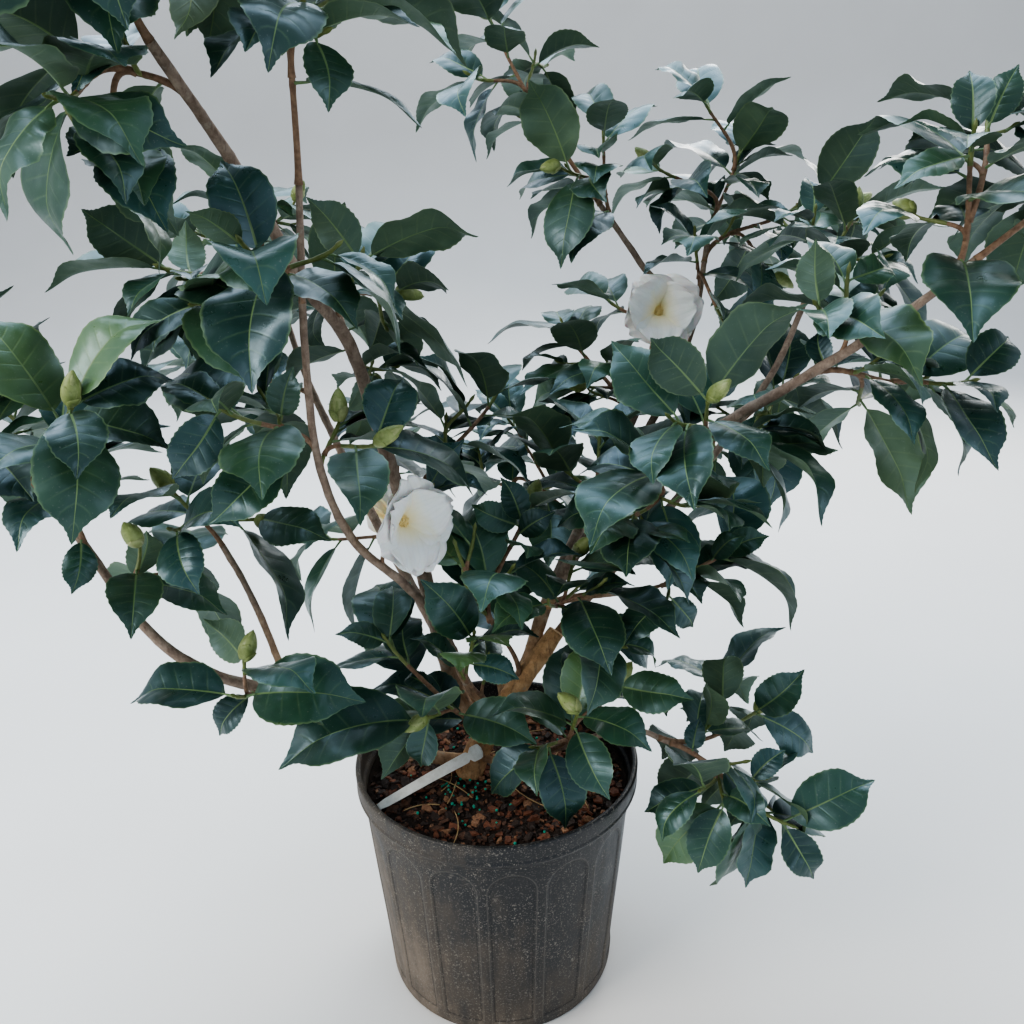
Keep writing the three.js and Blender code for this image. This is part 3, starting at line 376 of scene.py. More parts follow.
def grow_shoot(start, tangent, tip, owner, fine_start):
    """A shoot leaves its parent along the parent's direction, swings over to its tip and turns up there"""
    way = tip - start
    reach = math.sqrt(way @ way)
    ending = unit(unit(way) + TWIG["upturn"] * UP)
    lead = start + reach * TWIG["lead"] * tangent
    back = tip - reach * TWIG["lead"] * ending
    rough = bezier(start, lead, back, tip, max(2, round(reach / TWIG["step"])))
    fine = bezier(fine_start, lead, back, tip, max(6, round(reach / FINE_STEP)))
    return Wood(rough, fine, TWIG["tip_radius"] + TWIG["growth"] * reach, TWIG["tip_radius"], owner)


def grow_shoots(row, limbs):
    """The stem and shoots of one mass"""
    bough = next(limb for limb in limbs if limb.owner == row["stem_from"])
    tips = [np.array(tip, float) for tip in row["tips"]]
    fork = bough.length if row["at_end"] else shoot_fork_distance(bough, tips[0], 0)
    point, tangent = bough.place_at(fork)
    start = point + GAP * tangent if row["at_end"] else point
    stem = grow_shoot(start, tangent, tips[0], row["name"], bough.fine_place_at(fork))
    if row["at_end"]:
        stem.foot = min(stem.foot, bough.tip)
    shoots = [stem]
    for tip in tips[1:]:
        fork = shoot_fork_distance(stem, tip, stem.length * TWIG["fork_lowest"])
        point, tangent = stem.place_at(fork)
        shoots.append(grow_shoot(point, tangent, tip, row["name"], stem.fine_place_at(fork)))
    return shoots


# Distances


class Woods:
    """Many limbs and twigs, with the clear distance from points to the bark of each"""

    def __init__(self, woods):
        self.woods = woods
        a, b, radius, first = [], [], [], []
        for wood in woods:
            first.append(len(a))
            for i in range(1, len(wood.path)):
                a.append(wood.path[i - 1])
                b.append(wood.path[i])
                radius.append(max(wood.radius_at(wood.marks[i - 1]), wood.radius_at(wood.marks[i])))
        self.a, self.ab, self.radius = np.array(a), np.array(b) - np.array(a), np.array(radius)
        self.first = np.array(first)
        self.owners = np.array([wood.owner for wood in woods])

    def distances(self, points):
        """One row per point and one column per wood"""
        return np.minimum.reduceat(gaps_to_lines(points, self.a, self.ab) - self.radius, self.first, axis=1)


def shoot_has_room(shoot, foreign):
    woods = Woods(foreign)
    distance = TWIG["feel"]
    while distance <= shoot.length:
        point, _ = shoot.place_at(distance)
        if woods.distances(point[None]).min() < shoot.radius_at(distance) * TWIG["solid"] + CLEAR["shoot"]:
            return False
        distance += TWIG["feel"]
    return True


# Leaves: a leaf is a place, a direction, an upper side, and a midrib that bends down evenly


class Leaf:
    shown, ease, ease_other = False, 1, 1

    def __init__(self, shoot, rank, draws, turn, size=1):
        distance = shoot.length - LEAF["spacing"][rank]
        point, tangent = shoot.place_at(distance)
        spin = rank * LEAF["golden_angle"] + shoot.phase + (draws[1] - 0.5) * LEAF["turn_spread"] + turn
        outward = turned(any_square_to(tangent), tangent, math.radians(spin))
        if outward[2] < 0:
            outward[2] *= 0.5
            outward = unit(outward)
        opened = min(LEAF["pitch_most"], LEAF["pitch_at_tip"] + rank * LEAF["pitch_step"])
        pitch = math.radians(opened + (draws[2] - 0.5) * LEAF["pitch_spread"])
        along = unit(math.cos(pitch) * tangent + math.sin(pitch) * outward - LEAF["droop"] * UP)
        adaxial = tangent - (tangent @ along) * along
        skyward = UP - (UP @ along) * along
        sideways = np.cross(along, UP)
        upper = LEAF["adaxial"] * adaxial + LEAF["skyward"] * skyward
        self.upper = unit(upper + (draws[3] - 0.5) * LEAF["roll"] * sideways)
        self.root, self.along = point, along
        young = LEAF["youngest"] if rank == 0 else 1
        self.length = LEAF["length"] * young * size * (1 + (draws[0] - 0.5) * LEAF["length_spread"])
        self.half_width = self.length * LEAF["half_width"] * (1 + (draws[5] - 0.5) * LEAF["width_spread"])
        self.bend = LEAF["bend"] + LEAF["bend_spread"] * draws[4]
        self.owner, self.shoot, self.distance, self.rank = shoot.owner, shoot, distance, rank

    def frame(self, share, root=None):
        """Middle line, upper side and side at each share of the way from root to tip"""
        share = np.atleast_1d(np.asarray(share, float))[:, None]
        angle = self.bend * share
        forward = self.length * np.sin(angle) / self.bend
        down = self.length * (1 - np.cos(angle)) / self.bend
        along = np.cos(angle) * self.along - np.sin(angle) * self.upper
        upper = np.cos(angle) * self.upper + np.sin(angle) * self.along
        middle = (self.root if root is None else root) + forward * self.along - down * self.upper
        return middle, upper, np.cross(along, upper)


class ShownLeaf(Leaf):
    """A leaf that is seen plainly, whose tip may be moved by shift towards the viewer"""

    shown, ease = True, CLEAR["ease"]

    def __init__(self, row, place, shift):
        *tip, face = place
        tip = np.array(tip, float)
        roots = []
        for shoot in row["shoots"]:
            distance = leaf_fork_distance(shoot, tip)
            point = shoot.place_at(distance)[0]
            roots.append((np.linalg.norm(tip - point), shoot, distance, point))
        _, self.shoot, self.distance, self.root = min(roots, key=lambda root: root[0])
        to_viewer = unit(VIEWER - tip)
        chord = tip + shift * to_viewer - self.root
        way = unit(chord)
        facing = (1 - abs(face)) * UP + face * to_viewer
        square = unit(facing - (facing @ way) * way)
        half = LEAF["shown_bend"] / 2
        self.length = math.sqrt(chord @ chord) * half / math.sin(half)
        self.along = math.cos(half) * way + math.sin(half) * square
        self.upper = math.cos(half) * square - math.sin(half) * way
        self.half_width = self.length * LEAF["half_width"]
        self.bend, self.owner, self.rank = LEAF["shown_bend"], self.shoot.owner, 0


class SmallLeaf(Leaf):
    """A smaller leaf, which fills room that the source's leaves leave free"""

    ease, ease_other = FILL["ease"], FILL["ease"]

    def __init__(self, shoot, rank, draws, turn):
        super().__init__(shoot, rank, draws, turn, FILL["size"])
        self.rank = rank + LEAF["cad_ranks"]


FELT_ALONG = np.array(FEEL["along"])
FELT_ACROSS = np.array(FEEL["across"])
FELT_WIDTH = np.sin(np.pi * np.minimum(1, FELT_ALONG * 0.86 + 0.12)) ** 0.7


def feel_points(leaf):
    middle, upper, side = leaf.frame(FELT_ALONG)
    half = leaf.half_width * FELT_WIDTH[:, None]
    across = (half * FELT_ACROSS)[..., None] * side[:, None, :]
    lift = (half * np.abs(FELT_ACROSS) * LEAF["fold"])[..., None] * upper[:, None, :]
    return (middle[:, None, :] + across + lift).reshape(-1, 3)


def near_pot(points):
    across = np.hypot(points[:, 0], points[:, 1])
    height = points[:, 2]
    room = CLEAR["pot"]
    inside = (across < POT["top_radius"] - POT["lip"] - room) & (height > SOIL_TOP + room)
    beside = (across < POT["top_radius"] + room) & (height < POT["height"] + room)
    return ((height < room) | (beside & ~inside)).any()


class Shrub:
    """Everything that a new leaf has to keep clear of"""

    def __init__(self, limbs, shoots):
        self.limbs, self.shoots = Woods(limbs), Woods(shoots)
        self.knobs, self.leaves = [], []
        self.spots = [np.array(spot, float) for spot in OPEN_SPOTS]

    def keeps_sight(self, points):
        """Whether a leaf leaves the sight lines to the open spots free"""
        return gaps_to_lines(points, VIEWER, np.array(self.spots) - VIEWER).min() >= CLEAR["sight"]

    def has_room(self, leaf):
        points = feel_points(leaf)
        blade = points[FEEL["root_rows"] * len(FELT_ACROSS):]
        heart = leaf.frame(FEEL["heart"])[0]
        limb_near = self.limbs.distances(heart)[0] < leaf.length
        shoot_gap = self.shoots.distances(heart)[0]
        own = self.shoots.owners == leaf.owner
        foreign = ~own & (shoot_gap < leaf.length)
        if not leaf.shown and foreign.any() and shoot_gap[foreign].min() < shoot_gap[own].min():
            return False
        if near_pot(points):
            return False
        ease = leaf.ease
        wood_room = CLEAR["other_wood"] * ease
        if limb_near.any() and self.limbs.distances(points)[:, limb_near].min() < wood_room:
            return False
        shoot_gaps = self.shoots.distances(points)
        if foreign.any() and shoot_gaps[:, foreign].min() < wood_room:
            return False
        mine = own & (shoot_gap < leaf.length)
        mine &= np.array([shoot is not leaf.shoot for shoot in self.shoots.woods])
        blade_gaps = shoot_gaps[FEEL["root_rows"] * len(FELT_ACROSS):]
        if mine.any() and blade_gaps[:, mine].min() < CLEAR["own_wood"] * ease:
            return False
        for knob in self.knobs:
            same = knob["owner"] == leaf.owner
            room = knob["radius"] + (CLEAR["knob"] if same else CLEAR["other_wood"]) * ease
            felt = blade if same else points
            if np.linalg.norm(felt - knob["centre"], axis=1).min() < room:
                return False
        for other in self.leaves:
            if np.linalg.norm(other.heart - heart[0]) > leaf.length + CLEAR["other_leaf"]:
                continue
            same = other.owner == leaf.owner
            room = CLEAR["own_leaf"] * ease if same else CLEAR["other_leaf"] * leaf.ease_other
            a, b = (blade, other.blade) if same else (points, other.points)
            if ((a[:, None, :] - b[None]) ** 2).sum(2).min() < room * room:
                return False
        if not leaf.shown and not self.keeps_sight(blade):
            return False
        leaf.points, leaf.blade, leaf.heart = points, blade, heart[0]
        return True

    def grow_first(self, tries):
        """Add the first leaf of several tries that has room"""
        leaf = next((leaf for leaf in tries if self.has_room(leaf)), None)
        if leaf is not None:
            self.leaves.append(leaf)
        return leaf

    def twig_has_room(self, twig):
        """Whether a side twig keeps off every leaf, knob, limb and the pot"""
        path = twig.fine[2:]
        if near_pot(path) or self.limbs.distances(path).min() < FILL["twig_room"]:
            return False
        felt = [leaf.points for leaf in self.leaves] + [knob["centre"][None] for knob in self.knobs]
        rooms = [FILL["twig_room"]] * len(self.leaves) + [knob["radius"] for knob in self.knobs]
        for points, room in zip(felt, rooms):
            if np.linalg.norm(points[0] - path[0]) > LEAF["length"] * 2:
                continue
            if np.linalg.norm(points[:, None] - path[None], axis=2).min() < room:
                return False
        return self.keeps_sight(path)


def flower_knob(row, foot):
    axis = unit(np.array(row["flower"], float))
    centre = foot + FLOWER["radius"] * FLOWER["heart"] * axis
    return dict(owner=row["name"], kind="flower", foot=foot, axis=axis, centre=centre,
                radius=FLOWER["radius"])


def bud_knob(row, tip, tangent, lean_draw):
    lean = turned(any_square_to(tangent), tangent, TURN * lean_draw)
    axis = unit(tangent + BUD["lean"] * lean)
    foot = tip - TWIG["tip_radius"] * 2 * tangent
    return dict(owner=row["name"], kind="bud", foot=foot, axis=axis,
                centre=foot + BUD["length"] / 2 * axis, radius=BUD["length"] / 2)


def side_twigs(shoot, chance):
    """Short twigs that leave a shoot between its foot and its tip"""
    distance = FILL["twig_foot"] * chance.uniform(0.8, 1.3)
    while distance < shoot.length - FILL["bare"]:
        point, tangent = shoot.place_at(distance)
        outward = turned(any_square_to(tangent), tangent, chance.uniform(0, TURN))
        opened = math.radians(chance.uniform(*FILL["twig_angle"]))
        way = unit(math.cos(opened) * tangent + math.sin(opened) * outward)
        tip = point + chance.uniform(*FILL["twig_length"]) * way
        twig = grow_shoot(point, tangent, tip, shoot.owner, shoot.fine_place_at(distance))
        twig.phase = 360 * chance.random()
        yield twig
        distance += FILL["twig_gap"] * chance.uniform(0.7, 1.5)


def fill_out(shrub, shoots, refused):
    """Smaller leaves and side twigs, as in the source's rule, where there is still room"""
    for shoot, rank, draws in refused:
        shrub.grow_first(SmallLeaf(shoot, rank, draws, turn) for turn in FILL["turns"])
    chance = random.Random(SEEDS["fill"])
    twigs = []
    for shoot in shoots:
        for twig in side_twigs(shoot, chance):
            draws = [[chance.random() for _ in range(6)] for _ in FILL["spacing"]]
            if chance.random() > FILL["twig_share"] or not shrub.twig_has_room(twig):
                continue
            before = shrub.shoots
            shrub.shoots = Woods(before.woods + [twig])
            grown = 0
            for rank, draw in enumerate(draws):
                tries = (SmallLeaf(twig, rank, draw, turn) for turn in FILL["turns"])
                grown += shrub.grow_first(tries) is not None
            if grown:
                twigs.append(twig)
            else:
                shrub.shoots = before
    return twigs


def grow():
    """The whole shrub, by the source's rule, with more leaves on each shoot"""
    trunk = limb_wood(TRUNK, TRUNK["step"])
    limbs = [trunk] + [limb_wood(bough, BOUGH_STEP) for bough in BOUGHS]
    shoots = []
    for row in MASSES:
        stem, *others = grow_shoots(row, limbs)
        foreign = limbs + shoots
        row["shoots"] = [stem] + [shoot for shoot in others if shoot_has_room(shoot, foreign)]
        shoots += row["shoots"]
    shrub = Shrub(limbs, shoots)
    wanted = []
    for index, row in enumerate(MASSES):
        draw = random_numbers(SEEDS["first_mass"] + SEEDS["mass_step"] * index)
        for order, shoot in enumerate(row["shoots"]):
            shoot.phase = 360 * next(draw)
            bud_draw, lean_draw = next(draw), next(draw)
            point, tangent = shoot.place_at(shoot.length)
            if row["flower"] and order == 0:
                shrub.knobs.append(flower_knob(row, point))
            elif bud_draw < BUD["share"]:
                shrub.knobs.append(bud_knob(row, point, tangent, lean_draw))
            for rank, spacing in enumerate(LEAF["spacing"]):
                draws = [next(draw) for _ in range(6)]
                if spacing < shoot.length - LEAF["bare_root"]:
                    wanted.append((shoot, rank, draws))
    for row in MASSES:
        for place in row["shown"]:
            leaf = shrub.grow_first(ShownLeaf(row, place, shift) for shift in CLEAR["shifts"])
            if leaf is not None:
                shrub.spots += list(leaf.frame(LEAF["shown_shares"])[0])
    wanted.sort(key=lambda item: item[1])
    refused = []
    for shoot, rank, draws in wanted:
        if shrub.grow_first(Leaf(shoot, rank, draws, turn) for turn in CLEAR["turns"]) is None:
            refused.append((shoot, rank, draws))
    return limbs, shoots + fill_out(shrub, shoots, refused), shrub


LIMBS, SHOOTS, SHRUB = grow()


# Meshes: a pile gathers many small closed things into one mesh


class Pile:
    def __init__(self):
        self.count, self.points, self.marks, self.edged = 0, [], [], []
        self.faces, self.slots = {4: [], 3: []}, {4: [], 3: []}

    def add(self, points, quads=(), triangles=(), slot=0, end_slot=None, edged=False, marks=0.0):
        """slot is the material's number, for all faces or for each quad, and end_slot the triangles' own;
        edged points join in sharp edges; marks are three numbers for each point, which a material reads"""
        points = np.asarray(points, float).reshape(-1, 3)
        self.points.append(points)
        self.marks.append(np.zeros((len(points), 3)) + marks)
        self.edged.append(np.full(len(points), edged))
        end_slot = slot if end_slot is None else end_slot
        for corners, faces, numbers in ((4, quads, slot), (3, triangles, end_slot)):
            if len(faces):
                self.faces[corners].append(np.asarray(faces) + self.count)
                self.slots[corners].append(np.full(len(faces), numbers))
        self.count += len(points)

    def loft(self, rings, **how):
        self.add(*lofted(rings), **how)

    def tube(self, path, radii, sides, **how):
        self.loft(tube_rings(path, np.asarray(radii)[:, None], sides), **how)

    def shell(self, outer, inner, flip=False, marks=0.0, slot=0):
        """Two equal grids of points, joined round their rim"""
        index = np.arange(outer.shape[0] * outer.shape[1]).reshape(outer.shape[:2])
        rim = np.concatenate([index[0, :], index[1:, -1], index[-1, -2::-1], index[-2:0:-1, 0]])
        after, under = np.roll(rim, -1), index.size
        joint = [rim, after, under + after, under + rim] if flip else [rim, under + rim, under + after, after]
        faces = [grid_quads(index, flip), under + grid_quads(index, not flip), np.stack(joint, 1)]
        points = np.concatenate([outer.reshape(-1, 3), inner.reshape(-1, 3)])
        self.add(points, np.concatenate(faces), marks=marks, slot=slot)

    def object(self, name, materials, smooth_faces=True):
        mesh = bpy.data.meshes.new(name)
        kinds = [corners for corners in (4, 3) if self.faces[corners]]
        corners = np.concatenate([np.concatenate(self.faces[kind]).ravel() for kind in kinds])
        totals = np.concatenate([np.full(sum(map(len, self.faces[kind])), kind) for kind in kinds])
        slots = np.concatenate([numbers for kind in kinds for numbers in self.slots[kind]])
        starts = np.cumsum(totals) - totals
        points = np.concatenate(self.points) * MM
        mesh.vertices.add(len(points))
        mesh.loops.add(len(corners))
        mesh.polygons.add(len(totals))
        mesh.vertices.foreach_set("co", points.astype(np.float32).ravel())
        mesh.loops.foreach_set("vertex_index", corners.astype(np.int32))
        mesh.polygons.foreach_set("loop_start", starts.astype(np.int32))
        mesh.polygons.foreach_set("material_index", slots.astype(np.int32))
        mesh.polygons.foreach_set("use_smooth", np.full(len(totals), smooth_faces))
        mesh.update(calc_edges=True)
        edged, marks = np.concatenate(self.edged), np.concatenate(self.marks)
        if edged.any():
            ends = np.zeros(len(mesh.edges) * 2, np.int32)
            mesh.edges.foreach_get("vertices", ends)
            sharp = mesh.attributes.new("sharp_edge", "BOOLEAN", "EDGE")
            sharp.data.foreach_set("value", edged[ends.reshape(-1, 2)].all(1))
        if marks.any():
            attribute = mesh.attributes.new("marks", "FLOAT_VECTOR", "POINT")
            attribute.data.foreach_set("vector", marks.astype(np.float32).ravel())
        for material in materials:
            mesh.materials.append(material)
        made = bpy.data.objects.new(name, mesh)
        bpy.context.scene.collection.objects.link(made)
        return made


def circle_angles(sides):
    return np.arange(sides) / sides * 2 * np.pi


def circle(angle, radius, height):
    return np.stack([radius * np.cos(angle), radius * np.sin(angle), np.full(len(angle), float(height))], 1)


def grid_quads(index, flip=False):
    """Quads over a grid of point numbers, facing the other way when flipped"""
    a, b, c, d = index[:-1, :-1], index[:-1, 1:], index[1:, 1:], index[1:, :-1]
    return np.stack([a, d, c, b] if flip else [a, b, c, d], 2).reshape(-1, 4)


def ring_quads(count, sides):
    """Quads between each ring of points and the next"""
    i = np.arange(sides)
    j = (i + 1) % sides
    return np.concatenate([np.stack([i, j, sides + j, sides + i], 1) + k * sides for k in range(count - 1)])


def lofted(rings):
    """Points, quads and end triangles of a closed skin over equal rings"""
    sides = len(rings[0])
    last = (len(rings) - 1) * sides
    triangles = [[0, i + 1, i] for i in range(1, sides - 1)]
    triangles += [[last, last + i, last + i + 1] for i in range(1, sides - 1)]
    return np.concatenate(rings), ring_quads(len(rings), sides), triangles


def tube_sides(path):
    """Two directions square to a path at each of its points, carried on without twist"""
    tangents = np.gradient(path, axis=0)
    tangents /= np.linalg.norm(tangents, axis=1)[:, None]
    side = any_square_to(tangents[0])
    sides = []
    for tangent in tangents:
        side = unit(side - (side @ tangent) * tangent)
        sides.append(side)
    return np.array(sides), np.cross(tangents, sides)


def tube_rings(path, radii, sides):
    """radii holds a row of one or more radii for each point of the path"""
    a, b = tube_sides(path)
    angle = circle_angles(sides)
    way = np.cos(angle)[None, :, None] * a[:, None, :] + np.sin(angle)[None, :, None] * b[:, None, :]
    return path[:, None, :] + np.asarray(radii)[:, :, None] * way


# Leaves: a thin closed blade with a sunk midrib, side veins, a toothed margin and a slim stalk. Its columns
# run across from -1 to 1, and the two in the middle stand apart by the rib.

BLADE = dict(
    stations=29, few_stations=22, stalk=0.1, teeth=0.85, veins=7, vein_depth=0.26, vein_sweep=0.15,
    thickness=0.5, rib_half=0.85, rib_widest=0.2, rib_sunk=0.35, rib_raised=0.55, sway=0.06,
    columns=[-1, -0.8, -0.52, -0.24, 0, 0, 0.24, 0.52, 0.8, 1], ribs=[0, 0, 0, 0, -1, 1, 0, 0, 0, 0],
    twist_from=0.35, curl_from=0.55, stalk_radii=[1.6, 1.25, 1.15, 1.0, 0.5], stalk_sunk=0.035, stalk_sides=6,
)

# The ranges that each leaf draws its own shape from
BLADE_DRAWS = dict(
    fold=[0.12, 0.52], cup=[-0.38, 0.02], twist=[-0.6, 0.6], curl=[0.04, 0.17], wave=[0.01, 0.04],
    wave_count=[1.2, 2.6],
)


def blade_width(s):
    """Half width of the blade, from 0 at its foot and tip to 1 at its widest, with a long narrow drip tip"""
    return np.sin(np.pi * s ** 0.85) ** 0.78 * (1 - 0.62 * smooth(0.7, 0.93, s))


def add_leaf(pile, leaf, chance, slots):
    """slots are the material numbers of the upper side, the under side and the rib"""
    n = BLADE["few_stations" if isinstance(leaf, SmallLeaf) else "stations"]
    station = np.arange(n)[:, None]
    s = (station + 1) / (n + 1)
    t, ribs = (np.array(BLADE[key], float)[None, :] for key in ("columns", "ribs"))
    root = leaf.shoot.fine_place_at(leaf.distance)
    length = leaf.length

    fold, cup, twist, curl, wave, wave_count = (chance.uniform(*span) for span in BLADE_DRAWS.values())
    phases = [chance.uniform(0, TURN) for _ in range(2)]
    sway = chance.uniform(-BLADE["sway"], BLADE["sway"])
    own = chance.random()

    blade_s = s + BLADE["vein_sweep"] * np.abs(t) * np.sin(np.pi * s)
    half = leaf.half_width * blade_width(blade_s)
    rib = np.minimum(BLADE["rib_half"] * (1.15 - s), half * BLADE["rib_widest"])
    tooth = BLADE["teeth"] * (station % 2) * np.minimum(1, 6 * s * (1 - s)) * (np.abs(t) == 1) * np.sign(t)
    across = half * t + rib * ribs + tooth
    place = BLADE["stalk"] + (1 - BLADE["stalk"]) * blade_s
    middle, upper, side = leaf.frame(place.ravel(), root)
    side_wave = np.sin(2 * np.pi * wave_count * blade_s + np.where(t < 0, *phases))
    vein = BLADE["veins"] * station / (n - 1)
    lift = fold * np.abs(across) + cup * across ** 2 / np.maximum(leaf.half_width, 1)
    lift = lift + wave * length * side_wave * np.abs(t) ** 2.4 * np.sin(np.pi * blade_s)
    lift = lift - curl * length * smooth(BLADE["curl_from"], 1.0, blade_s) ** 1.4
    lift = lift - BLADE["vein_depth"] * np.cos(2 * np.pi * vein) * np.minimum(1, 3 * np.abs(t)) * (
        1 - np.abs(t) ** 3)
    turn = twist * (blade_s - BLADE["twist_from"])
    x = across * np.cos(turn) - lift * np.sin(turn) + sway * length * np.sin(np.pi * blade_s)
    z = across * np.sin(turn) + lift * np.cos(turn)
    thick = BLADE["thickness"] * np.clip(1 - t ** 2, 0, 1) ** 0.5 * np.minimum(1, 8 * s * (1 - s))
    heights = (z + thick / 2 - BLADE["rib_sunk"] * np.abs(ribs) * np.minimum(1, 9 * (1 - s)),
               z - thick / 2 - BLADE["rib_raised"] * np.abs(ribs) * (1.05 - s))
    top, under = ((middle + x.ravel()[:, None] * side + height.ravel()[:, None] * upper).reshape(*x.shape, 3)
                  for height in heights)
    foot = leaf.frame(BLADE["stalk"], root)[0]
    tip, tip_upper, tip_side = leaf.frame(1.0, root)
    tip_turn, drop = twist * (1 - BLADE["twist_from"]), -curl * length
    tip = tip + tip_upper * drop * math.cos(tip_turn) - tip_side * drop * math.sin(tip_turn)
    points = np.concatenate([top.reshape(-1, 3), under[:, 1:-1].reshape(-1, 3), foot, tip])
    marks = np.stack([vein + 0 * t, t + 0.03 * ribs + 0 * s, own + 0 * blade_s], 2)
    ends = np.array([[0, 0, own], [vein[-1, 0], 0, own]])
    marks = np.concatenate([marks.reshape(-1, 3), marks[:, 1:-1].reshape(-1, 3), ends])

    columns = t.size
    inner = columns - 2
    top_index = np.arange(n * columns).reshape(n, columns)
    under_index = top_index.copy()
    under_index[:, 1:-1] = n * columns + np.arange(n * inner).reshape(n, inner)
    foot_index, tip_index = n * (columns + inner), n * (columns + inner) + 1
    quads, quad_slots, fans, fan_slots = [], [], [], []
    for index, flip, face_slot in ((top_index, False, slots[0]), (under_index, True, slots[1])):
        cell_slots = np.full((n - 1, columns - 1), face_slot)
        cell_slots[:, columns // 2 - 1] = slots[2]
        quads.append(grid_quads(index, flip))
        quad_slots.append(cell_slots.ravel())
        for row, apex, near in ((index[0], foot_index, True), (index[-1], tip_index, False)):
            pair = np.stack([row[:-1], row[1:]], 1)
            fans.append(np.column_stack([pair if near == flip else pair[:, ::-1], np.full(len(pair), apex)]))
            fan_slots.append(np.full(len(pair), face_slot))
    edged = np.zeros(len(points), bool)
    edged[[*top_index[:, 0], *top_index[:, -1], foot_index, tip_index]] = True
    pile.add(points, np.concatenate(quads), np.concatenate(fans), np.concatenate(quad_slots),
             np.concatenate(fan_slots), edged, marks)

    share = np.linspace(0, BLADE["stalk"] + BLADE["stalk_sunk"], len(BLADE["stalk_radii"]))
    radii = np.array(BLADE["stalk_radii"]) * (0.8 + 0.2 * length / LEAF["length"])
    pile.tube(leaf.frame(share, root)[0], radii, BLADE["stalk_sides"], slot=slots[2])


# Twigs: smooth tubes with a swollen joint under each leaf, green near their tips, where a slim leaf bud ends
# them if no flower bud does

TWIG_LOOK = dict(
    bow=0.45, bow_length=17, joint=0.45, joint_length=2.2, collar=0.35, collar_length=5, narrowed=0.45,
    sides=8, green=[16, 40], bud_length=[7, 12], bud_radii=[1.35, 1.75, 1.85, 1.55, 0.95, 0.2], knob_near=4,
)


def add_twig(pile, shoot, joints, chance, slots):
    look = TWIG_LOOK
    path, marks = shoot.fine, marks_along(shoot.fine)
    length = marks[-1]
    wobble = chance.uniform(0, TURN)
    a, b = tube_sides(path)
    bow = np.sin(marks / look["bow_length"] + wobble) * look["bow"] * np.sin(np.pi * marks / length)
    path = path + a * bow[:, None] + b * (0.7 * bow)[:, None]
    radii = mix(shoot.foot, shoot.tip, marks / length)
    for joint in joints:
        away = (marks - joint * length / shoot.length) / look["joint_length"]
        radii = radii + look["joint"] * np.exp(-away ** 2)
    radii = radii * (1 + look["collar"] * np.exp(-marks / look["collar_length"]))
    if any(np.linalg.norm(knob["foot"] - path[-1]) < look["knob_near"] for knob in SHRUB.knobs):
        radii[-1] *= look["narrowed"]
    else:
        way = unit(path[-1] - path[-2])
        heights = np.linspace(0, chance.uniform(*look["bud_length"]), len(look["bud_radii"]) + 1)[1:]
        path = np.concatenate([path, path[-1] + heights[:, None] * way])
        marks = np.concatenate([marks, marks[-1] + heights])
        radii = np.concatenate([radii, look["bud_radii"]])
    green = marks[1:] > length - chance.uniform(*look["green"])
    quad_slots = np.repeat(np.where(green, slots[1], slots[0]), look["sides"])
    pile.tube(path, radii, look["sides"], slot=quad_slots, end_slot=slots[1])


# Limbs: bark with low ridges, scars and joints in real relief. A wave is turns round the limb, length and
# size.

BARK = dict(
    step=3, collar_length=9, flare_length=12,
    waves=[(2, 61, 0.035), (3, 37, 0.022), (1, 23, 0.02), (5, 140, 0.02), (7, 90, 0.014), (4, 9, 0.008)],
    first_scar=[12, 26], scar_gap=[16, 36], scar_size=[0.05, 0.14], scar_end=6,
)


def add_limb(pile, wood, chance, sides, flare=0.0, collar=0.3, cut_slot=None):
    """A limb's skin, with its own cut face where it has the slot for one"""
    path, marks = wood.fine, marks_along(wood.fine)
    length = marks[-1]
    even = np.linspace(0, length, max(4, round(length / BARK["step"])) + 1)
    path = np.stack([np.interp(even, marks, path[:, k]) for k in range(3)], 1)
    marks = even
    radii = mix(wood.foot, wood.tip, marks / length)
    radii = radii * (1 + collar * np.exp(-marks / BARK["collar_length"])
                     + flare * np.exp(-marks / BARK["flare_length"]))
    angle = circle_angles(sides)[None, :]
    distance = marks[:, None]
    ripple = np.zeros((len(path), sides))
    for turns, wave, size in BARK["waves"]:
        ripple = ripple + size * np.sin(turns * angle + distance * 2 * np.pi / wave + chance.uniform(0, 6))
    skin = 1 + ripple
    place = chance.uniform(*BARK["first_scar"])
    while place < length - BARK["scar_end"]:
        size = chance.uniform(*BARK["scar_size"])
        side = chance.uniform(0, TURN)
        ring = np.exp(-((distance - place) / 1.7) ** 2)
        scar = np.exp(-((distance - place - 2.5) / 2.6) ** 2) * np.maximum(0, np.cos(angle - side)) ** 6
        skin = skin + 0.45 * size * ring + 1.6 * size * scar
        place += chance.uniform(*BARK["scar_gap"])
    rings = tube_rings(path, radii[:, None] * skin, sides)
    if cut_slot is not None:
        tip, tangent = rings[-1], unit(path[-1] - path[-2])
        heart = tip.mean(0)
        cut = [heart + (tip - heart) * width + tangent * rise for width, rise in ((0.9, 0.5), (0.45, 0.2))]
        rings = np.concatenate([rings, cut])
    points, quads, triangles = lofted(rings)
    quad_slots, triangle_slots = np.zeros(len(quads), int), np.zeros(len(triangles), int)
    if cut_slot is not None:
        quad_slots[-sides:] = cut_slot
        triangle_slots[sides - 2:] = cut_slot
    along = np.full((len(points), 3), length)
    along[:len(path) * sides, 0] = np.repeat(marks, sides)
    along[:, 1:] = [0, chance.random()]
    pile.add(points, quads, triangles, quad_slots, triangle_slots, marks=along)


# Buds: overlapping pointed scales round a slim egg. Each scale has the levels where it starts and ends.

BUD_SCALES = [
    (0, 0.34), (0, 0.46), (0.06, 0.62), (0.1, 0.74), (0.18, 0.86), (0.26, 0.93), (0.36, 0.99), (0.4, 1),
]
BUD_NOD = math.radians(56)


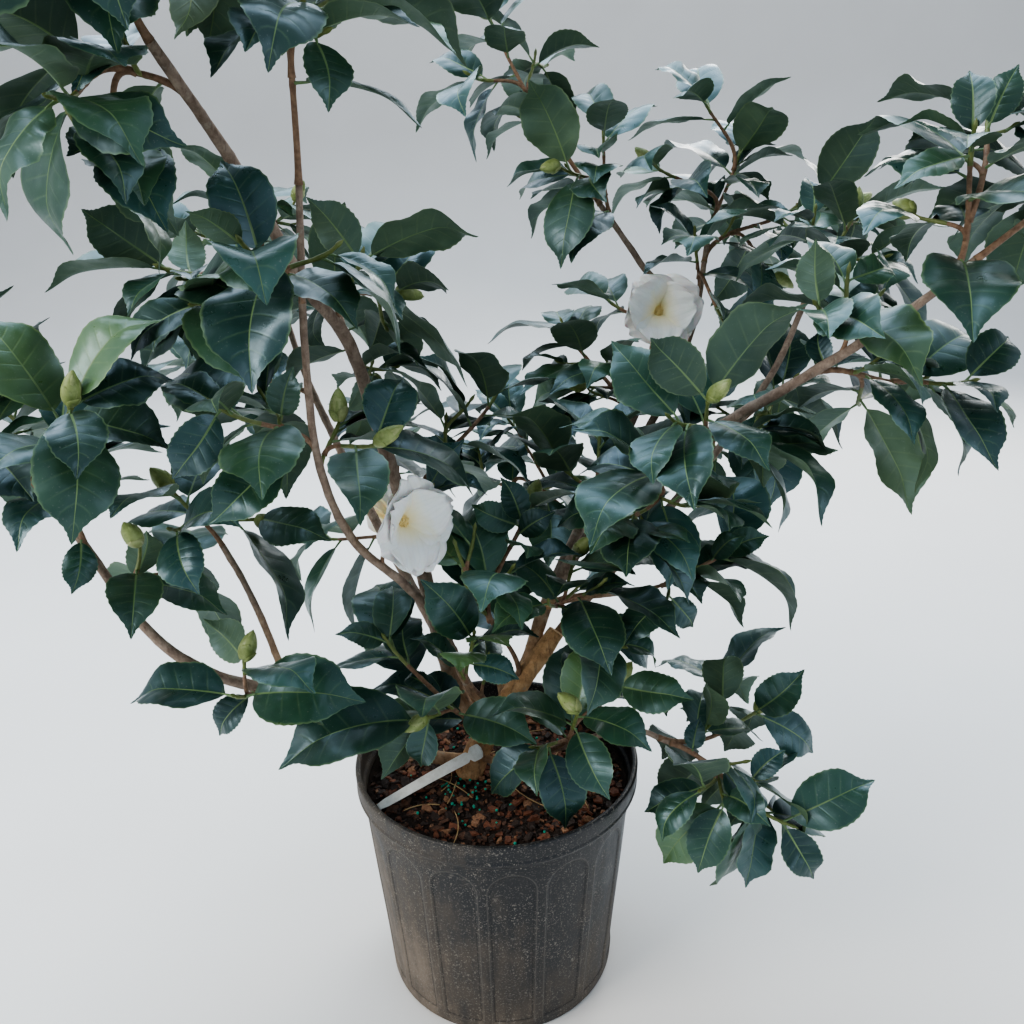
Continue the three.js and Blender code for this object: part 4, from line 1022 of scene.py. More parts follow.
def egg_width(level):
    return np.sin(np.pi * np.clip(0.06 + 0.94 * level, 0, 1) ** 0.8) ** 0.72


def add_scale(pile, foot, axis, spin, low, high, spread, radius, length, slot, rows=6, columns=5):
    """One bud scale: a thin pointed shell that hugs the egg between two levels"""
    reference = any_square_to(axis)
    v = np.linspace(0, 1, rows + 1)[:, None]
    u = np.linspace(-1, 1, columns)[None, :]
    width = spread * np.sqrt(np.clip(1 - v ** 2.6, 0, 1))
    angle = (spin + u * width)[..., None]
    height = length * (low + (high - low) * v) * np.ones_like(u)
    egg = radius * egg_width(height / length)
    lift = 0.35 + 0.55 * v * (1 - np.abs(u) ** 2)
    way = np.cos(angle) * reference + np.sin(angle) * np.cross(axis, reference)
    outer, inner = (foot + height[..., None] * axis + np.maximum(egg + over, 0.15)[..., None] * way
                    for over in (lift, lift - 0.5))
    pile.shell(outer, inner, slot=slot)


def nodding(foot, axis):
    """The axis of a bud, leant aside where it would point straight at the viewer"""
    sight = unit(VIEWER - foot)
    toward = axis @ sight
    if toward < math.cos(BUD_NOD):
        return axis
    return math.cos(BUD_NOD) * sight + math.sin(BUD_NOD) * unit(axis - toward * sight)


def add_bud(pile, knob, chance, slots):
    foot, axis = knob["foot"], nodding(knob["foot"], knob["axis"])
    length = BUD["length"] * chance.uniform(0.9, 1.06)
    radius = BUD["radius"] * chance.uniform(0.82, 0.98)
    heights = np.linspace(0, 1, 10)
    egg = radius * egg_width(heights)
    egg[0], egg[-1] = radius * 0.3, 0.3
    pile.tube(foot + (heights * length)[:, None] * axis, egg, 10, slot=slots[0])
    spin = chance.uniform(0, 360)
    for order, (low, high) in enumerate(BUD_SCALES):
        turn = math.radians(spin + order * LEAF["golden_angle"])
        spread, hug = math.radians(78 - 3 * order), radius * (1.0 - 0.03 * order)
        add_scale(pile, foot, axis, turn, low, high, spread, hug, length, slots[order % 2])


# Flowers: broad overlapping petals in a shallow bowl, and a boss of stamens

PETAL = dict(
    rows=16, columns=15, thickness=0.5, half_width=0.56, foot_angle=12, notch=0.075, corners=0.15,
    crumple=0.03, ripple=0.012, cup=0.1,
)
PETAL_LAYERS = [dict(count=4, size=54, opening=96), dict(count=3, size=49, opening=78)]
STAMENS = dict(count=96, foot=1.5, foot_ring=2.2, length=9, middle_longer=2.5, spread=5.6)
SEPALS = dict(count=5, turn=144, shape=dict(low=0.05, high=0.62, spread=0.95, radius=8, length=14))

# A flower that isn't wide open
FLOWER_OPENING = {"leaves_back_left_low": 0.5}


def add_petal(pile, centre, axis, spin, size, open_angle, chance, slot):
    """A broad petal with a notched, gently crumpled rim; marks hold how far out a point is, and its side"""
    out = turned(any_square_to(axis), axis, spin)
    side = np.cross(axis, out)
    v = np.linspace(0, 1, PETAL["rows"] + 1)[:, None]
    u = np.linspace(-1, 1, PETAL["columns"])[None, :]
    body = np.sin(np.pi * (0.07 + 0.8 * v ** 0.9)) ** 0.75
    width = PETAL["half_width"] * size * chance.uniform(0.9, 1.08) * body
    reach = v - PETAL["notch"] * v ** 8 * np.exp(-(u / 0.2) ** 2)
    reach = reach - PETAL["corners"] * v ** 3 * np.abs(u) ** 2.4
    fine = np.linspace(0, 1, 65)
    lean = np.radians(mix(PETAL["foot_angle"], open_angle, fine ** 0.7))
    distance = size * np.interp(reach, fine, np.cumsum(np.sin(lean)) / len(fine))
    height = size * np.interp(reach, fine, np.cumsum(np.cos(lean)) / len(fine))
    phase, second = chance.uniform(0, 6.3), chance.uniform(0, 6.3)
    lift = PETAL["crumple"] * np.sin(3.4 * u * np.pi + phase) * v ** 2.5
    lift = lift + 0.6 * PETAL["crumple"] * np.sin(5 * v * np.pi + 2 * u + second) * np.abs(u) ** 1.5
    lift = lift + PETAL["ripple"] * np.sin(9 * u + 3 * v + second) * v + PETAL["cup"] * u ** 2 * v
    angle = np.radians(mix(PETAL["foot_angle"], open_angle, v ** 0.7))
    distance = distance + 0.02 * size - size * lift * np.cos(angle)
    height = height + size * lift * np.sin(angle)
    sheet = centre + distance[..., None] * out + height[..., None] * axis + (u * width)[..., None] * side
    back = np.cos(angle)[..., None] * out - np.sin(angle)[..., None] * axis
    marks = np.stack([v + 0 * u, u + 0 * v, chance.random() + 0 * u * v], 2).reshape(-1, 3)
    pile.shell(sheet, sheet + PETAL["thickness"] * back, flip=True, marks=np.tile(marks, (2, 1)), slot=slot)


def add_flower(pile, knob, chance, slots):
    """slots are petal, stamen thread, stamen head and sepal"""
    axis, foot = knob["axis"], knob["foot"]
    reference = any_square_to(axis)
    base = foot + 2.5 * axis
    turn = chance.uniform(0, TURN)
    opening = FLOWER_OPENING.get(knob["owner"], 1)
    for order, layer in enumerate(PETAL_LAYERS):
        for i in range(layer["count"]):
            spin = turn + TURN * (i + 0.5 * order + chance.uniform(-0.13, 0.13)) / layer["count"]
            opened = layer["opening"] * opening + chance.uniform(-7, 7)
            size = layer["size"] * chance.uniform(0.92, 1.04)
            add_petal(pile, base + axis * (1.8 * order + 0.6 * i), axis, spin, size, opened, chance, slots[0])
    for i in range(STAMENS["count"]):
        ring = math.sqrt((i + 0.5) / STAMENS["count"])
        way = turned(reference, axis, i * math.radians(LEAF["golden_angle"]))
        start = base + axis * STAMENS["foot"] + way * ring * STAMENS["foot_ring"]
        rise = STAMENS["length"] + STAMENS["middle_longer"] * (1 - ring) + chance.uniform(-1.6, 1.6)
        end = base + axis * rise + way * ring * STAMENS["spread"]
        thread = np.array([start, (start + end) / 2 + way * 0.6, end])
        head = np.array([end - axis * 0.8, end, end + axis * 0.9])
        pile.tube(thread, [0.42, 0.34, 0.3], 4, slot=slots[1])
        pile.tube(head, [0.4, 0.75, 0.3], 5, slot=slots[2])
    for order in range(SEPALS["count"]):
        spin = math.radians(order * SEPALS["turn"])
        add_scale(pile, foot - axis * 3, axis, spin, **SEPALS["shape"], slot=slots[3])


# Pot: a smooth lathed wall with arched panels pressed into it. The rows of the foot and the rim are radius
# and height; the others are heights.

POT_FOOT = [(60, 0), (104, 0), (108, 0.9), (111.5, 0.9), (113.2, 0), (115, 0.25), (116.2, 1.1)]
PANEL_ROWS = dict(bottom=11, top=205, count=98)
POT_RIM = [
    (133.9, 214.3), (135, 215.6), (137.4, 217.8), (138.9, 219.4), (139.7, 221), (139.75, 222.6),
    (139.2, 223.6), (139.05, 224.4), (139.25, 225.4), (139.5, 228), (139.8, 234), (140.0, 238.2),
    (139.8, 239.7), (139.1, 240.7), (138, 241), (136.4, 240.9), (135.2, 240.3), (134.6, 239.2),
    (134.4, 236), (134.3, 228), (134.1, 222.5), (133.2, 220.9), (131.6, 219.6), (130.8, 217.5),
]
POT_INSIDE = [214, 208, 200, 150, 80, 8]
MARK_REACH = 9


def wall_radius(z):
    return mix(POT["base_radius"], POT["wall_top_radius"], z / POT["wall_top"])


def inside_panel(angle, z):
    """Distance in from the edge of the nearest arched panel; less than zero outside it"""
    period = TURN / POT["panels"]
    turn = math.radians(POT["panel_turn"]) - math.pi / 2
    offset = (angle - turn + period / 2) % period - period / 2
    half = math.radians(POT["panel_angle"] / 2)
    arch_radius = POT["wall_top_radius"] * math.sin(half)
    above = np.maximum(z - (POT["panel_top"] - arch_radius), 0)
    inside = arch_radius - np.hypot(offset / half * arch_radius, above)
    return np.minimum(inside, z - POT["panel_bottom"])


def add_pot(pile, sides=252):
    low, high = PANEL_ROWS["bottom"], PANEL_ROWS["top"]
    heights = [2.2, 4, 7, 10, *np.linspace(low, high, PANEL_ROWS["count"]), 208, 211, 213]
    outside = POT_FOOT + [(wall_radius(z), z) for z in heights]
    rows = outside + POT_RIM + [(wall_radius(z) - POT["wall"], z) for z in POT_INSIDE]
    rows += [(wall_radius(5) - 5, POT["floor"]), (60, POT["floor"])]
    angle = circle_angles(sides)
    rings, marks = [], []
    for order, (radius, z) in enumerate(rows):
        r = np.full(sides, float(radius))
        inside = np.full(sides, -float(MARK_REACH))
        if order < len(outside):
            r = r + 0.35 * np.sin(3 * angle + z / 60) * smooth(0, 60, z)
            r = r + 0.2 * np.sin(5 * angle - z / 35 + 1)
            if low <= z <= high:
                inside = np.clip(inside_panel(angle, z), -MARK_REACH, MARK_REACH)
                r = r - POT["panel_depth"] * smooth(-1.2, 1.6, inside)
        marks.append(np.stack([inside, inside, inside], 1))
        rings.append(circle(angle, r, z))
    first, last = np.arange(sides), np.arange(sides) + (len(rings) - 1) * sides
    foot, heart = (np.full(sides, len(rings) * sides + k) for k in (0, 1))
    triangles = np.concatenate([np.stack([foot, np.roll(first, -1), first], 1),
                                np.stack([last, np.roll(last, -1), heart], 1)])
    marks.append(np.full((2, 3), -float(MARK_REACH)))
    points = np.concatenate(rings + [[[0, 0, 0], [0, 0, POT["floor"]]]])
    pile.add(points, ring_quads(len(rings), sides), triangles, marks=np.concatenate(marks))


# Soil: a lumpy bed of peat with bark chips, crumbs, fertiliser pellets and fallen needles on it

BED = dict(sides=120, steps=44, bottom=8)
CHIPS = dict(
    count=2300, sizes=(4, 4, 5, 6, 7, 8, 10, 14), flatness=[0.09, 0.2], reach=129,
    slots=(0, 0, 0, 1, 1, 2, 2, 2, 3),
)
CRUMBS = dict(count=1600, reach=128, size=[1.3, 3.6], flatness=0.6)
PELLETS = dict(count=90, in_drift=42, drift=[(-28, 17), (-26, 15)], reach=118, radius=[1.0, 1.6], sides=8)
NEEDLES = dict(count=16, reach=92, farthest=124, length=[32, 62], bend=6, radius=0.55, points=9, sides=5)
TRUNK_FOOT = np.array(TRUNK["points"][0][:2])


def soil_height(x, y):
    """The bed's surface: a low dome with lumps, lower at the wall"""
    across = np.hypot(x, y)
    lumps = 1.5 * np.sin(x / 13 + 1.3) * np.cos(y / 11) + 1.1 * np.sin(x / 6.1 - y / 8.3)
    lumps = lumps + 0.7 * np.sin(x / 3.3 + y / 3.9 + 0.6)
    return SOIL_TOP - 0.8 + 3.2 * np.exp(-(across / 60) ** 2) + lumps * 0.8 - 2.2 * smooth(95, 128, across)


def add_bed(pile):
    angle, steps, bottom = circle_angles(BED["sides"]), BED["steps"], BED["bottom"]
    low, edge = (wall_radius(z) - POT["wall"] - GAP for z in (bottom, SOIL_TOP))
    rings = [circle(angle, 0.5, bottom), circle(angle, low, bottom)]
    for k in range(steps + 1):
        r = edge * (1 - k / steps) + 0.6 * (k / steps)
        x, y = r * np.cos(angle), r * np.sin(angle)
        rings.append(np.stack([x, y, soil_height(x, y)], 1))
    pile.loft(rings)


def add_chip(pile, centre, size, flatness, chance, slot=0):
    """An irregular flake: a rough polygon with a slanted top"""
    sides = chance.choice((4, 5, 5, 6))
    stretch = chance.uniform(0.45, 1.0)
    spin = chance.uniform(0, TURN)
    normal = turned(UP, np.array([math.cos(spin), math.sin(spin), 0]), chance.gauss(0, 0.38))
    a = turned(any_square_to(normal), normal, chance.uniform(0, TURN))
    b = np.cross(normal, a)
    low, high = [], []
    for i in range(sides):
        angle = TURN * (i + chance.uniform(-0.3, 0.3)) / sides
        r = size / 2 * chance.uniform(0.7, 1.1)
        spot = centre + r * math.cos(angle) * a + r * stretch * math.sin(angle) * b
        thick = size * flatness * chance.uniform(0.7, 1.3)
        low.append(spot - normal * thick / 2)
        high.append(centre + (spot - centre) * chance.uniform(0.72, 0.95) + normal * thick / 2)
    pile.loft([np.array(low), np.array(high)], slot=slot)


def near_trunk(x, y, share):
    return math.hypot(x - TRUNK_FOOT[0], y - TRUNK_FOOT[1]) < TRUNK["foot"] * share


def soil_spot(chance, edge=125):
    """A random place on the bed, clear of the trunk's foot"""
    while True:
        r, angle = edge * math.sqrt(chance.random()), chance.uniform(0, TURN)
        x, y = r * math.cos(angle), r * math.sin(angle)
        if not near_trunk(x, y, 1.25):
            return x, y


def add_chips(pile, chance):
    for _ in range(CHIPS["count"]):
        x, y = soil_spot(chance)
        size = chance.choice(CHIPS["sizes"]) * chance.uniform(0.75, 1.15)
        z = soil_height(x, y) + chance.uniform(0.1, 1.4) + size * 0.06
        size = min(size, 2 * (CHIPS["reach"] - math.hypot(x, y)) + 4)
        slot = chance.choice(CHIPS["slots"])
        add_chip(pile, np.array([x, y, z]), size, chance.uniform(*CHIPS["flatness"]), chance, slot)


def add_crumbs(pile, chance):
    for _ in range(CRUMBS["count"]):
        x, y = soil_spot(chance, CRUMBS["reach"])
        size = chance.uniform(*CRUMBS["size"])
        z = soil_height(x, y) + chance.uniform(0, 1.3)
        add_chip(pile, np.array([x, y, z]), size, CRUMBS["flatness"], chance)


def add_pellets(pile, chance):
    """Small round fertiliser grains, in a drift left of the trunk and scattered"""
    heights = np.array([-0.95, -0.6, 0, 0.6, 0.95])
    for i in range(PELLETS["count"]):
        if i < PELLETS["in_drift"]:
            x, y = (chance.gauss(*spread) for spread in PELLETS["drift"])
        else:
            x, y = soil_spot(chance, PELLETS["reach"])
        if near_trunk(x, y, 1.3):
            continue
        r = chance.uniform(*PELLETS["radius"])
        centre = np.array([x, y, soil_height(x, y) + 2.0 + chance.uniform(0, 1)])
        pile.tube(centre + heights[:, None] * r * UP, r * np.sqrt(1 - heights ** 2), PELLETS["sides"])


def add_needles(pile, chance):
    for _ in range(NEEDLES["count"]):
        x, y = soil_spot(chance, NEEDLES["reach"])
        spin = chance.uniform(0, math.pi)
        way = np.array([math.cos(spin), math.sin(spin), 0])
        length = chance.uniform(*NEEDLES["length"])
        bend = chance.uniform(-NEEDLES["bend"], NEEDLES["bend"])
        t = np.linspace(-0.5, 0.5, NEEDLES["points"])
        bow = (bend * (1 - 4 * t ** 2))[:, None] * np.cross(UP, way)
        path = np.array([x, y, 0]) + t[:, None] * length * way + bow
        if np.hypot(path[:, 0], path[:, 1]).max() > NEEDLES["farthest"]:
            continue
        path[:, 2] = soil_height(path[:, 0], path[:, 1]).max() + 3.2 + 2 * t * chance.uniform(-1, 1)
        pile.tube(path, np.full(len(t), NEEDLES["radius"]), NEEDLES["sides"])


# Tag: a thin blank strip with a notched neck and a wider head. Its section is given in half widths and half
# thicknesses.

TAG_SECTION = [(1, 0.7), (0.96, -1), (0, -1), (-0.96, -1), (-1, 0.7), (-0.9, 1), (0, 1), (0.9, 1)]


def add_tag(pile, steps=60):
    path = smooth_path(TAG["points"], steps)
    marks = marks_along(path)
    length = marks[-1]
    head_foot = length - TAG["head_length"]
    half = np.full(len(marks), TAG["width"] / 2)
    half = half + (TAG["head"] - TAG["width"]) / 2 * smooth(head_foot, head_foot + 3, marks)
    half = half - (TAG["width"] - TAG["neck"]) / 2 * np.exp(-((marks - head_foot) / 1.6) ** 2)
    half = half * np.sqrt(np.clip(1 - smooth(length - 4, length + 0.6, marks) ** 2, 0.04, 1))
    half = half * mix(0.75, 1, smooth(0, 10, marks))
    tangents = np.gradient(path, axis=0)
    tangents /= np.linalg.norm(tangents, axis=1)[:, None]
    foot_face, head_face = (np.array(TAG[key], float) for key in ("face_at_foot", "face_at_head"))
    face = mix(foot_face, head_face, (marks / length)[:, None])
    upper = face - (face * tangents).sum(1)[:, None] * tangents
    upper /= np.linalg.norm(upper, axis=1)[:, None]
    side, thick = np.cross(tangents, upper), TAG["thickness"] / 2
    pile.loft([np.array([path[k] + side[k] * half[k] * a + upper[k] * thick * b for a, b in TAG_SECTION])
               for k in range(len(path))])


# Materials


class Nodes:
    """A short hand for building a material's node tree"""

    def __init__(self, name, **sockets):
        self.material = bpy.data.materials.new(name)
        self.material.use_nodes = True
        self.tree = self.material.node_tree
        self.shader = self.tree.nodes["Principled BSDF"]
        for socket, value in sockets.items():
            self.shader.inputs[socket.replace("_", " ")].default_value = value
        self.place = self.tree.nodes.new("ShaderNodeTexCoord").outputs["Object"]

    def node(self, kind, **values):
        made = self.tree.nodes.new(kind)
        for key, value in values.items():
            if hasattr(made, key):
                setattr(made, key, value)
            else:
                self.give(value, made.inputs[key.replace("_", " ")])
        return made

    def give(self, value, socket):
        """Link a node's output to the socket, or set the socket to a number or colour"""
        if isinstance(value, bpy.types.NodeSocket):
            self.tree.links.new(value, socket)
        elif socket.type == "RGBA" and len(value) == 3:
            socket.default_value = (*value, 1)
        else:
            socket.default_value = value

    def noise(self, size, detail=4.0, roughness=0.6, stretch=None):
        """Noise whose lumps are about `size` millimetres"""
        place = self.place
        if stretch:
            place = self.node("ShaderNodeMapping", Scale=stretch, Vector=place).outputs["Vector"]
        made = self.node("ShaderNodeTexNoise", Scale=1000 / size, Detail=detail, Roughness=roughness,
                         Vector=place)
        return made.outputs["Fac"]

    def split(self, vector):
        return list(self.node("ShaderNodeSeparateXYZ", Vector=vector).outputs)

    def marks(self):
        return self.split(self.node("ShaderNodeAttribute", attribute_name="marks").outputs["Vector"])

    def ramp(self, value, *stops):
        made = self.node("ShaderNodeValToRGB", Fac=value)
        elements = made.color_ramp.elements
        while len(elements) < len(stops):
            elements.new(0.5)
        for element, (place, colour) in zip(elements, stops):
            element.position, element.color = place, (*colour, 1)
        return made.outputs["Color"]

    def grey(self, value, low, high, low_value, high_value):
        made = self.node("ShaderNodeMapRange", Value=value, From_Min=low, From_Max=high, To_Min=low_value,
                         To_Max=high_value)
        return made.outputs["Result"]

    def mixed(self, factor, a, b):
        made = self.node("ShaderNodeMix", data_type="RGBA")
        for value, socket in ((factor, made.inputs["Factor"]), (a, made.inputs[6]), (b, made.inputs[7])):
            self.give(value, socket)
        return made.outputs[2]

    def math(self, operation, a, b=0):
        made = self.node("ShaderNodeMath", operation=operation)
        self.give(a, made.inputs[0])
        self.give(b, made.inputs[1])
        return made.outputs["Value"]

    def plus(self, a, b):
        return self.math("ADD", a, b)

    def times(self, a, b):
        return self.math("MULTIPLY", a, b)

    def minus(self, a, b):
        return self.math("SUBTRACT", a, b)

    def finish(self, colour, roughness=None, height=None, strength=0, depth=0):
        """Give the shader its colour and, where the material has them, its roughness and its relief"""
        self.give(colour, self.shader.inputs["Base Color"])
        if roughness is not None:
            self.give(roughness, self.shader.inputs["Roughness"])
        if height is not None:
            bump = self.node("ShaderNodeBump", Strength=strength, Distance=depth * MM, Height=height)
            self.give(bump.outputs["Normal"], self.shader.inputs["Normal"])


# Materials of two colours mixed by noise: the noise's size, detail and roughness, both colours, then one
# roughness or noise between two, and where there is relief its noise, strength and depth
SIMPLE = dict(
    leaf_rib=((30, 3), (0.085, 0.160, 0.065), (0.175, 0.265, 0.115), (5, 0.36, 0.55), (1.5, 4), 0.2, 0.2),
    twig_bark=((5, 5), (0.120, 0.062, 0.036), (0.310, 0.195, 0.120), (3, 0.55, 0.8), (1.4, 4), 0.5, 0.5),
    green_shoot=((6, 4), (0.085, 0.130, 0.030), (0.190, 0.215, 0.070), 0.5, (1.2, 4), 0.3, 0.3),
    cut_wood=((3.5, 6), (0.30, 0.165, 0.075), (0.60, 0.42, 0.23), 0.8, (0.9, 5), 0.5, 0.5),
    bud_scale=((7, 4), (0.150, 0.200, 0.055), (0.300, 0.360, 0.130), (4, 0.38, 0.55), (0.9, 5), 0.25, 0.3),
    bud_scale_pale=(
        (7, 4), (0.210, 0.250, 0.090), (0.390, 0.430, 0.200), (4, 0.38, 0.55), (0.9, 5), 0.25, 0.3),
    stamen_thread=((3,), (0.80, 0.66, 0.28), (0.90, 0.82, 0.50), 0.55),
    stamen_head=((1.5,), (0.88, 0.68, 0.26), (0.95, 0.83, 0.46), 0.75, (0.4,), 0.5, 0.3),
    soil_bed=((7, 6, 0.7), (0.012, 0.008, 0.006), (0.045, 0.025, 0.017), 0.95, (2.4, 6, 0.75), 1.0, 2.0),
    pellet=((2,), (0.005, 0.26, 0.17), (0.02, 0.46, 0.32), 0.5),
    needle=((8,), (0.30, 0.19, 0.08), (0.52, 0.37, 0.19), 0.7),
    tag_plastic=((9, 6, 0.7), (0.72, 0.71, 0.66), (0.88, 0.88, 0.85), (4, 0.35, 0.55), (2,), 0.1, 0.2),
    studio_floor=((400, 2), (0.80, 0.79, 0.77), (0.83, 0.82, 0.80), 0.85),
)
RAMP_ENDS = dict(tag_plastic=(0.35, 0.6))
CHIP_COLOURS = dict(
    chip_red=((0.070, 0.020, 0.010), (0.235, 0.085, 0.042)),
    chip_brown=((0.032, 0.014, 0.009), (0.140, 0.066, 0.038)),
    chip_dark=((0.010, 0.006, 0.005), (0.055, 0.032, 0.024)),
    chip_tan=((0.120, 0.050, 0.024), (0.400, 0.215, 0.120)),
)
for chip, (dark, light) in CHIP_COLOURS.items():
    SIMPLE[chip] = ((4, 6, 0.7), dark, light, (3, 0.6, 0.9), (1.3, 6, 0.7), 0.8, 0.8)

# Leaves: dark and light colour, the pale colour of the veins, which also paints a highlight along the rim,
# roughness and weight of the wax coat
PALE_VEIN_AND_RIM_HIGHLIGHT = (0.16, 0.25, 0.10)
LEAVES = dict(
    leaf_deep=((0.008, 0.034, 0.017), (0.016, 0.062, 0.028), PALE_VEIN_AND_RIM_HIGHLIGHT, 0.36, 0.18),
    leaf_blue=((0.010, 0.042, 0.034), (0.022, 0.078, 0.056), PALE_VEIN_AND_RIM_HIGHLIGHT, 0.33, 0.2),
    leaf_mid=((0.014, 0.050, 0.020), (0.028, 0.084, 0.030), PALE_VEIN_AND_RIM_HIGHLIGHT, 0.38, 0.16),
    leaf_fresh=((0.040, 0.105, 0.026), (0.080, 0.160, 0.040), (0.26, 0.36, 0.12), 0.36, 0.3),
    leaf_under=((0.038, 0.080, 0.034), (0.070, 0.125, 0.052), (0.20, 0.27, 0.11), 0.56, 0.0),
)

# Bark: how far from the foot, in millimetres, its tan turns grey brown
BARKS = dict(bough_bark=(10, 150), trunk_bark=(400, 900))


def simple_material(name, lumps, dark, light, roughness, relief=None, strength=0, depth=0):
    m = Nodes(name)
    low, high = RAMP_ENDS.get(name, (0.3, 0.7))
    if isinstance(roughness, tuple):
        size, smoothest, roughest = roughness
        roughness = m.grey(m.noise(size), 0.3, 0.7, smoothest, roughest)
    m.finish(m.ramp(m.noise(*lumps), (low, dark), (high, light)), roughness,
             m.noise(*relief) if relief else None, strength, depth)
    return m.material


def leaf_material(name, dark, light, edge, roughness, coat):
    """marks hold the place along the blade in side veins, across it from -1 to 1, and the leaf's number"""
    # The Specular Tint paints a sky blue into every reflection on the leaves: a painted reflection
    m = Nodes(name, Coat_Weight=coat, Coat_Roughness=0.24, Specular_IOR_Level=0.85,
              Specular_Tint=(0.55, 0.80, 1.0, 1.0))
    along, across, own = m.marks()
    aside = m.math("ABSOLUTE", across)
    vein = m.times(m.grey(m.math("PINGPONG", along, 0.5), 0.0, 0.1, 1, 0), m.grey(aside, 0.35, 0.95, 1, 0))
    tone = m.node("ShaderNodeHueSaturation", Saturation=0.84, Value=m.grey(own, 0, 1, 0.7, 1.4),
                  Color=m.ramp(m.noise(38, 3), (0.3, dark), (0.72, light)))
    # The pale veins are the leaf's own colour; the paler line along the margin is a painted highlight
    vein_and_rim_highlight = m.math("MAXIMUM", m.times(vein, 0.18), m.grey(aside, 0.93, 1.0, 0, 0.6))
    dust = m.grey(m.noise(1.7, 2), 0.66, 0.72, 0, 0.22)
    film = m.grey(m.noise(15, 3), 0.3, 0.7, roughness - 0.09, roughness + 0.13)
    height = m.minus(m.times(m.noise(2.6, 2), 0.5), m.times(vein, 0.9))
    m.finish(m.mixed(dust, m.mixed(vein_and_rim_highlight, tone.outputs["Color"], edge), (0.30, 0.32, 0.28)),
             m.plus(film, m.times(dust, 0.6)), height, 0.35, 0.4)
    return m.material


def bark_material(name, near, far):
    """marks hold the distance from the limb's foot"""
    m = Nodes(name)
    coarse = m.noise(9, 5, 0.65)
    tan = m.ramp(coarse, (0.25, (0.300, 0.160, 0.075)), (0.52, (0.560, 0.330, 0.165)),
                 (0.8, (0.76, 0.53, 0.32)))
    brown = m.ramp(coarse, (0.25, (0.125, 0.084, 0.060)), (0.5, (0.260, 0.190, 0.145)),
                   (0.78, (0.42, 0.335, 0.27)))
    distance = m.plus(m.marks()[0], m.times(m.noise(30, 3), 90))
    aged = m.mixed(m.grey(distance, near, far, 0, 1), tan, brown)
    lichen = m.grey(m.noise(17, 4), 0.62, 0.70, 0, 0.6)
    grain = m.noise(3.4, 4, 0.7, stretch=(1, 1, 0.16))
    streaked = m.mixed(m.grey(grain, 0.52, 0.70, 0, 0.6), aged, (0.085, 0.045, 0.026))
    m.finish(m.mixed(lichen, streaked, (0.36, 0.33, 0.27)), m.grey(coarse, 0.3, 0.7, 0.7, 0.92),
             m.plus(m.noise(1.8, 3, 0.7), grain), 0.6, 0.9)
    return m.material


def petal_material(name):
    """marks hold how far out a point is, and its side from -1 to 1"""
    m = Nodes(name, Subsurface_Weight=0.15, Subsurface_Scale=0.003)
    outward, aside, _ = m.marks()
    white = m.ramp(m.noise(14, 4), (0.3, (0.88, 0.87, 0.84)), (0.7, (0.96, 0.955, 0.94)))
    heart = m.grey(m.plus(outward, m.times(m.noise(9, 3), 0.16)), 0.20, 0.68, 0.85, 0)
    rays = m.math("PINGPONG", m.plus(m.times(aside, 5), m.times(m.noise(12, 3), 1.5)), 0.5)
    lines = m.grey(rays, 0.0, 0.16, 0.14, 0)
    veined = m.mixed(lines, white, (0.60, 0.62, 0.64))
    m.finish(m.mixed(heart, veined, (0.94, 0.78, 0.38)), m.grey(m.noise(8), 0.3, 0.7, 0.48, 0.65),
             m.minus(m.times(m.noise(2.6, 5), 0.6), m.times(lines, 4)), 0.3, 0.5)
    return m.material


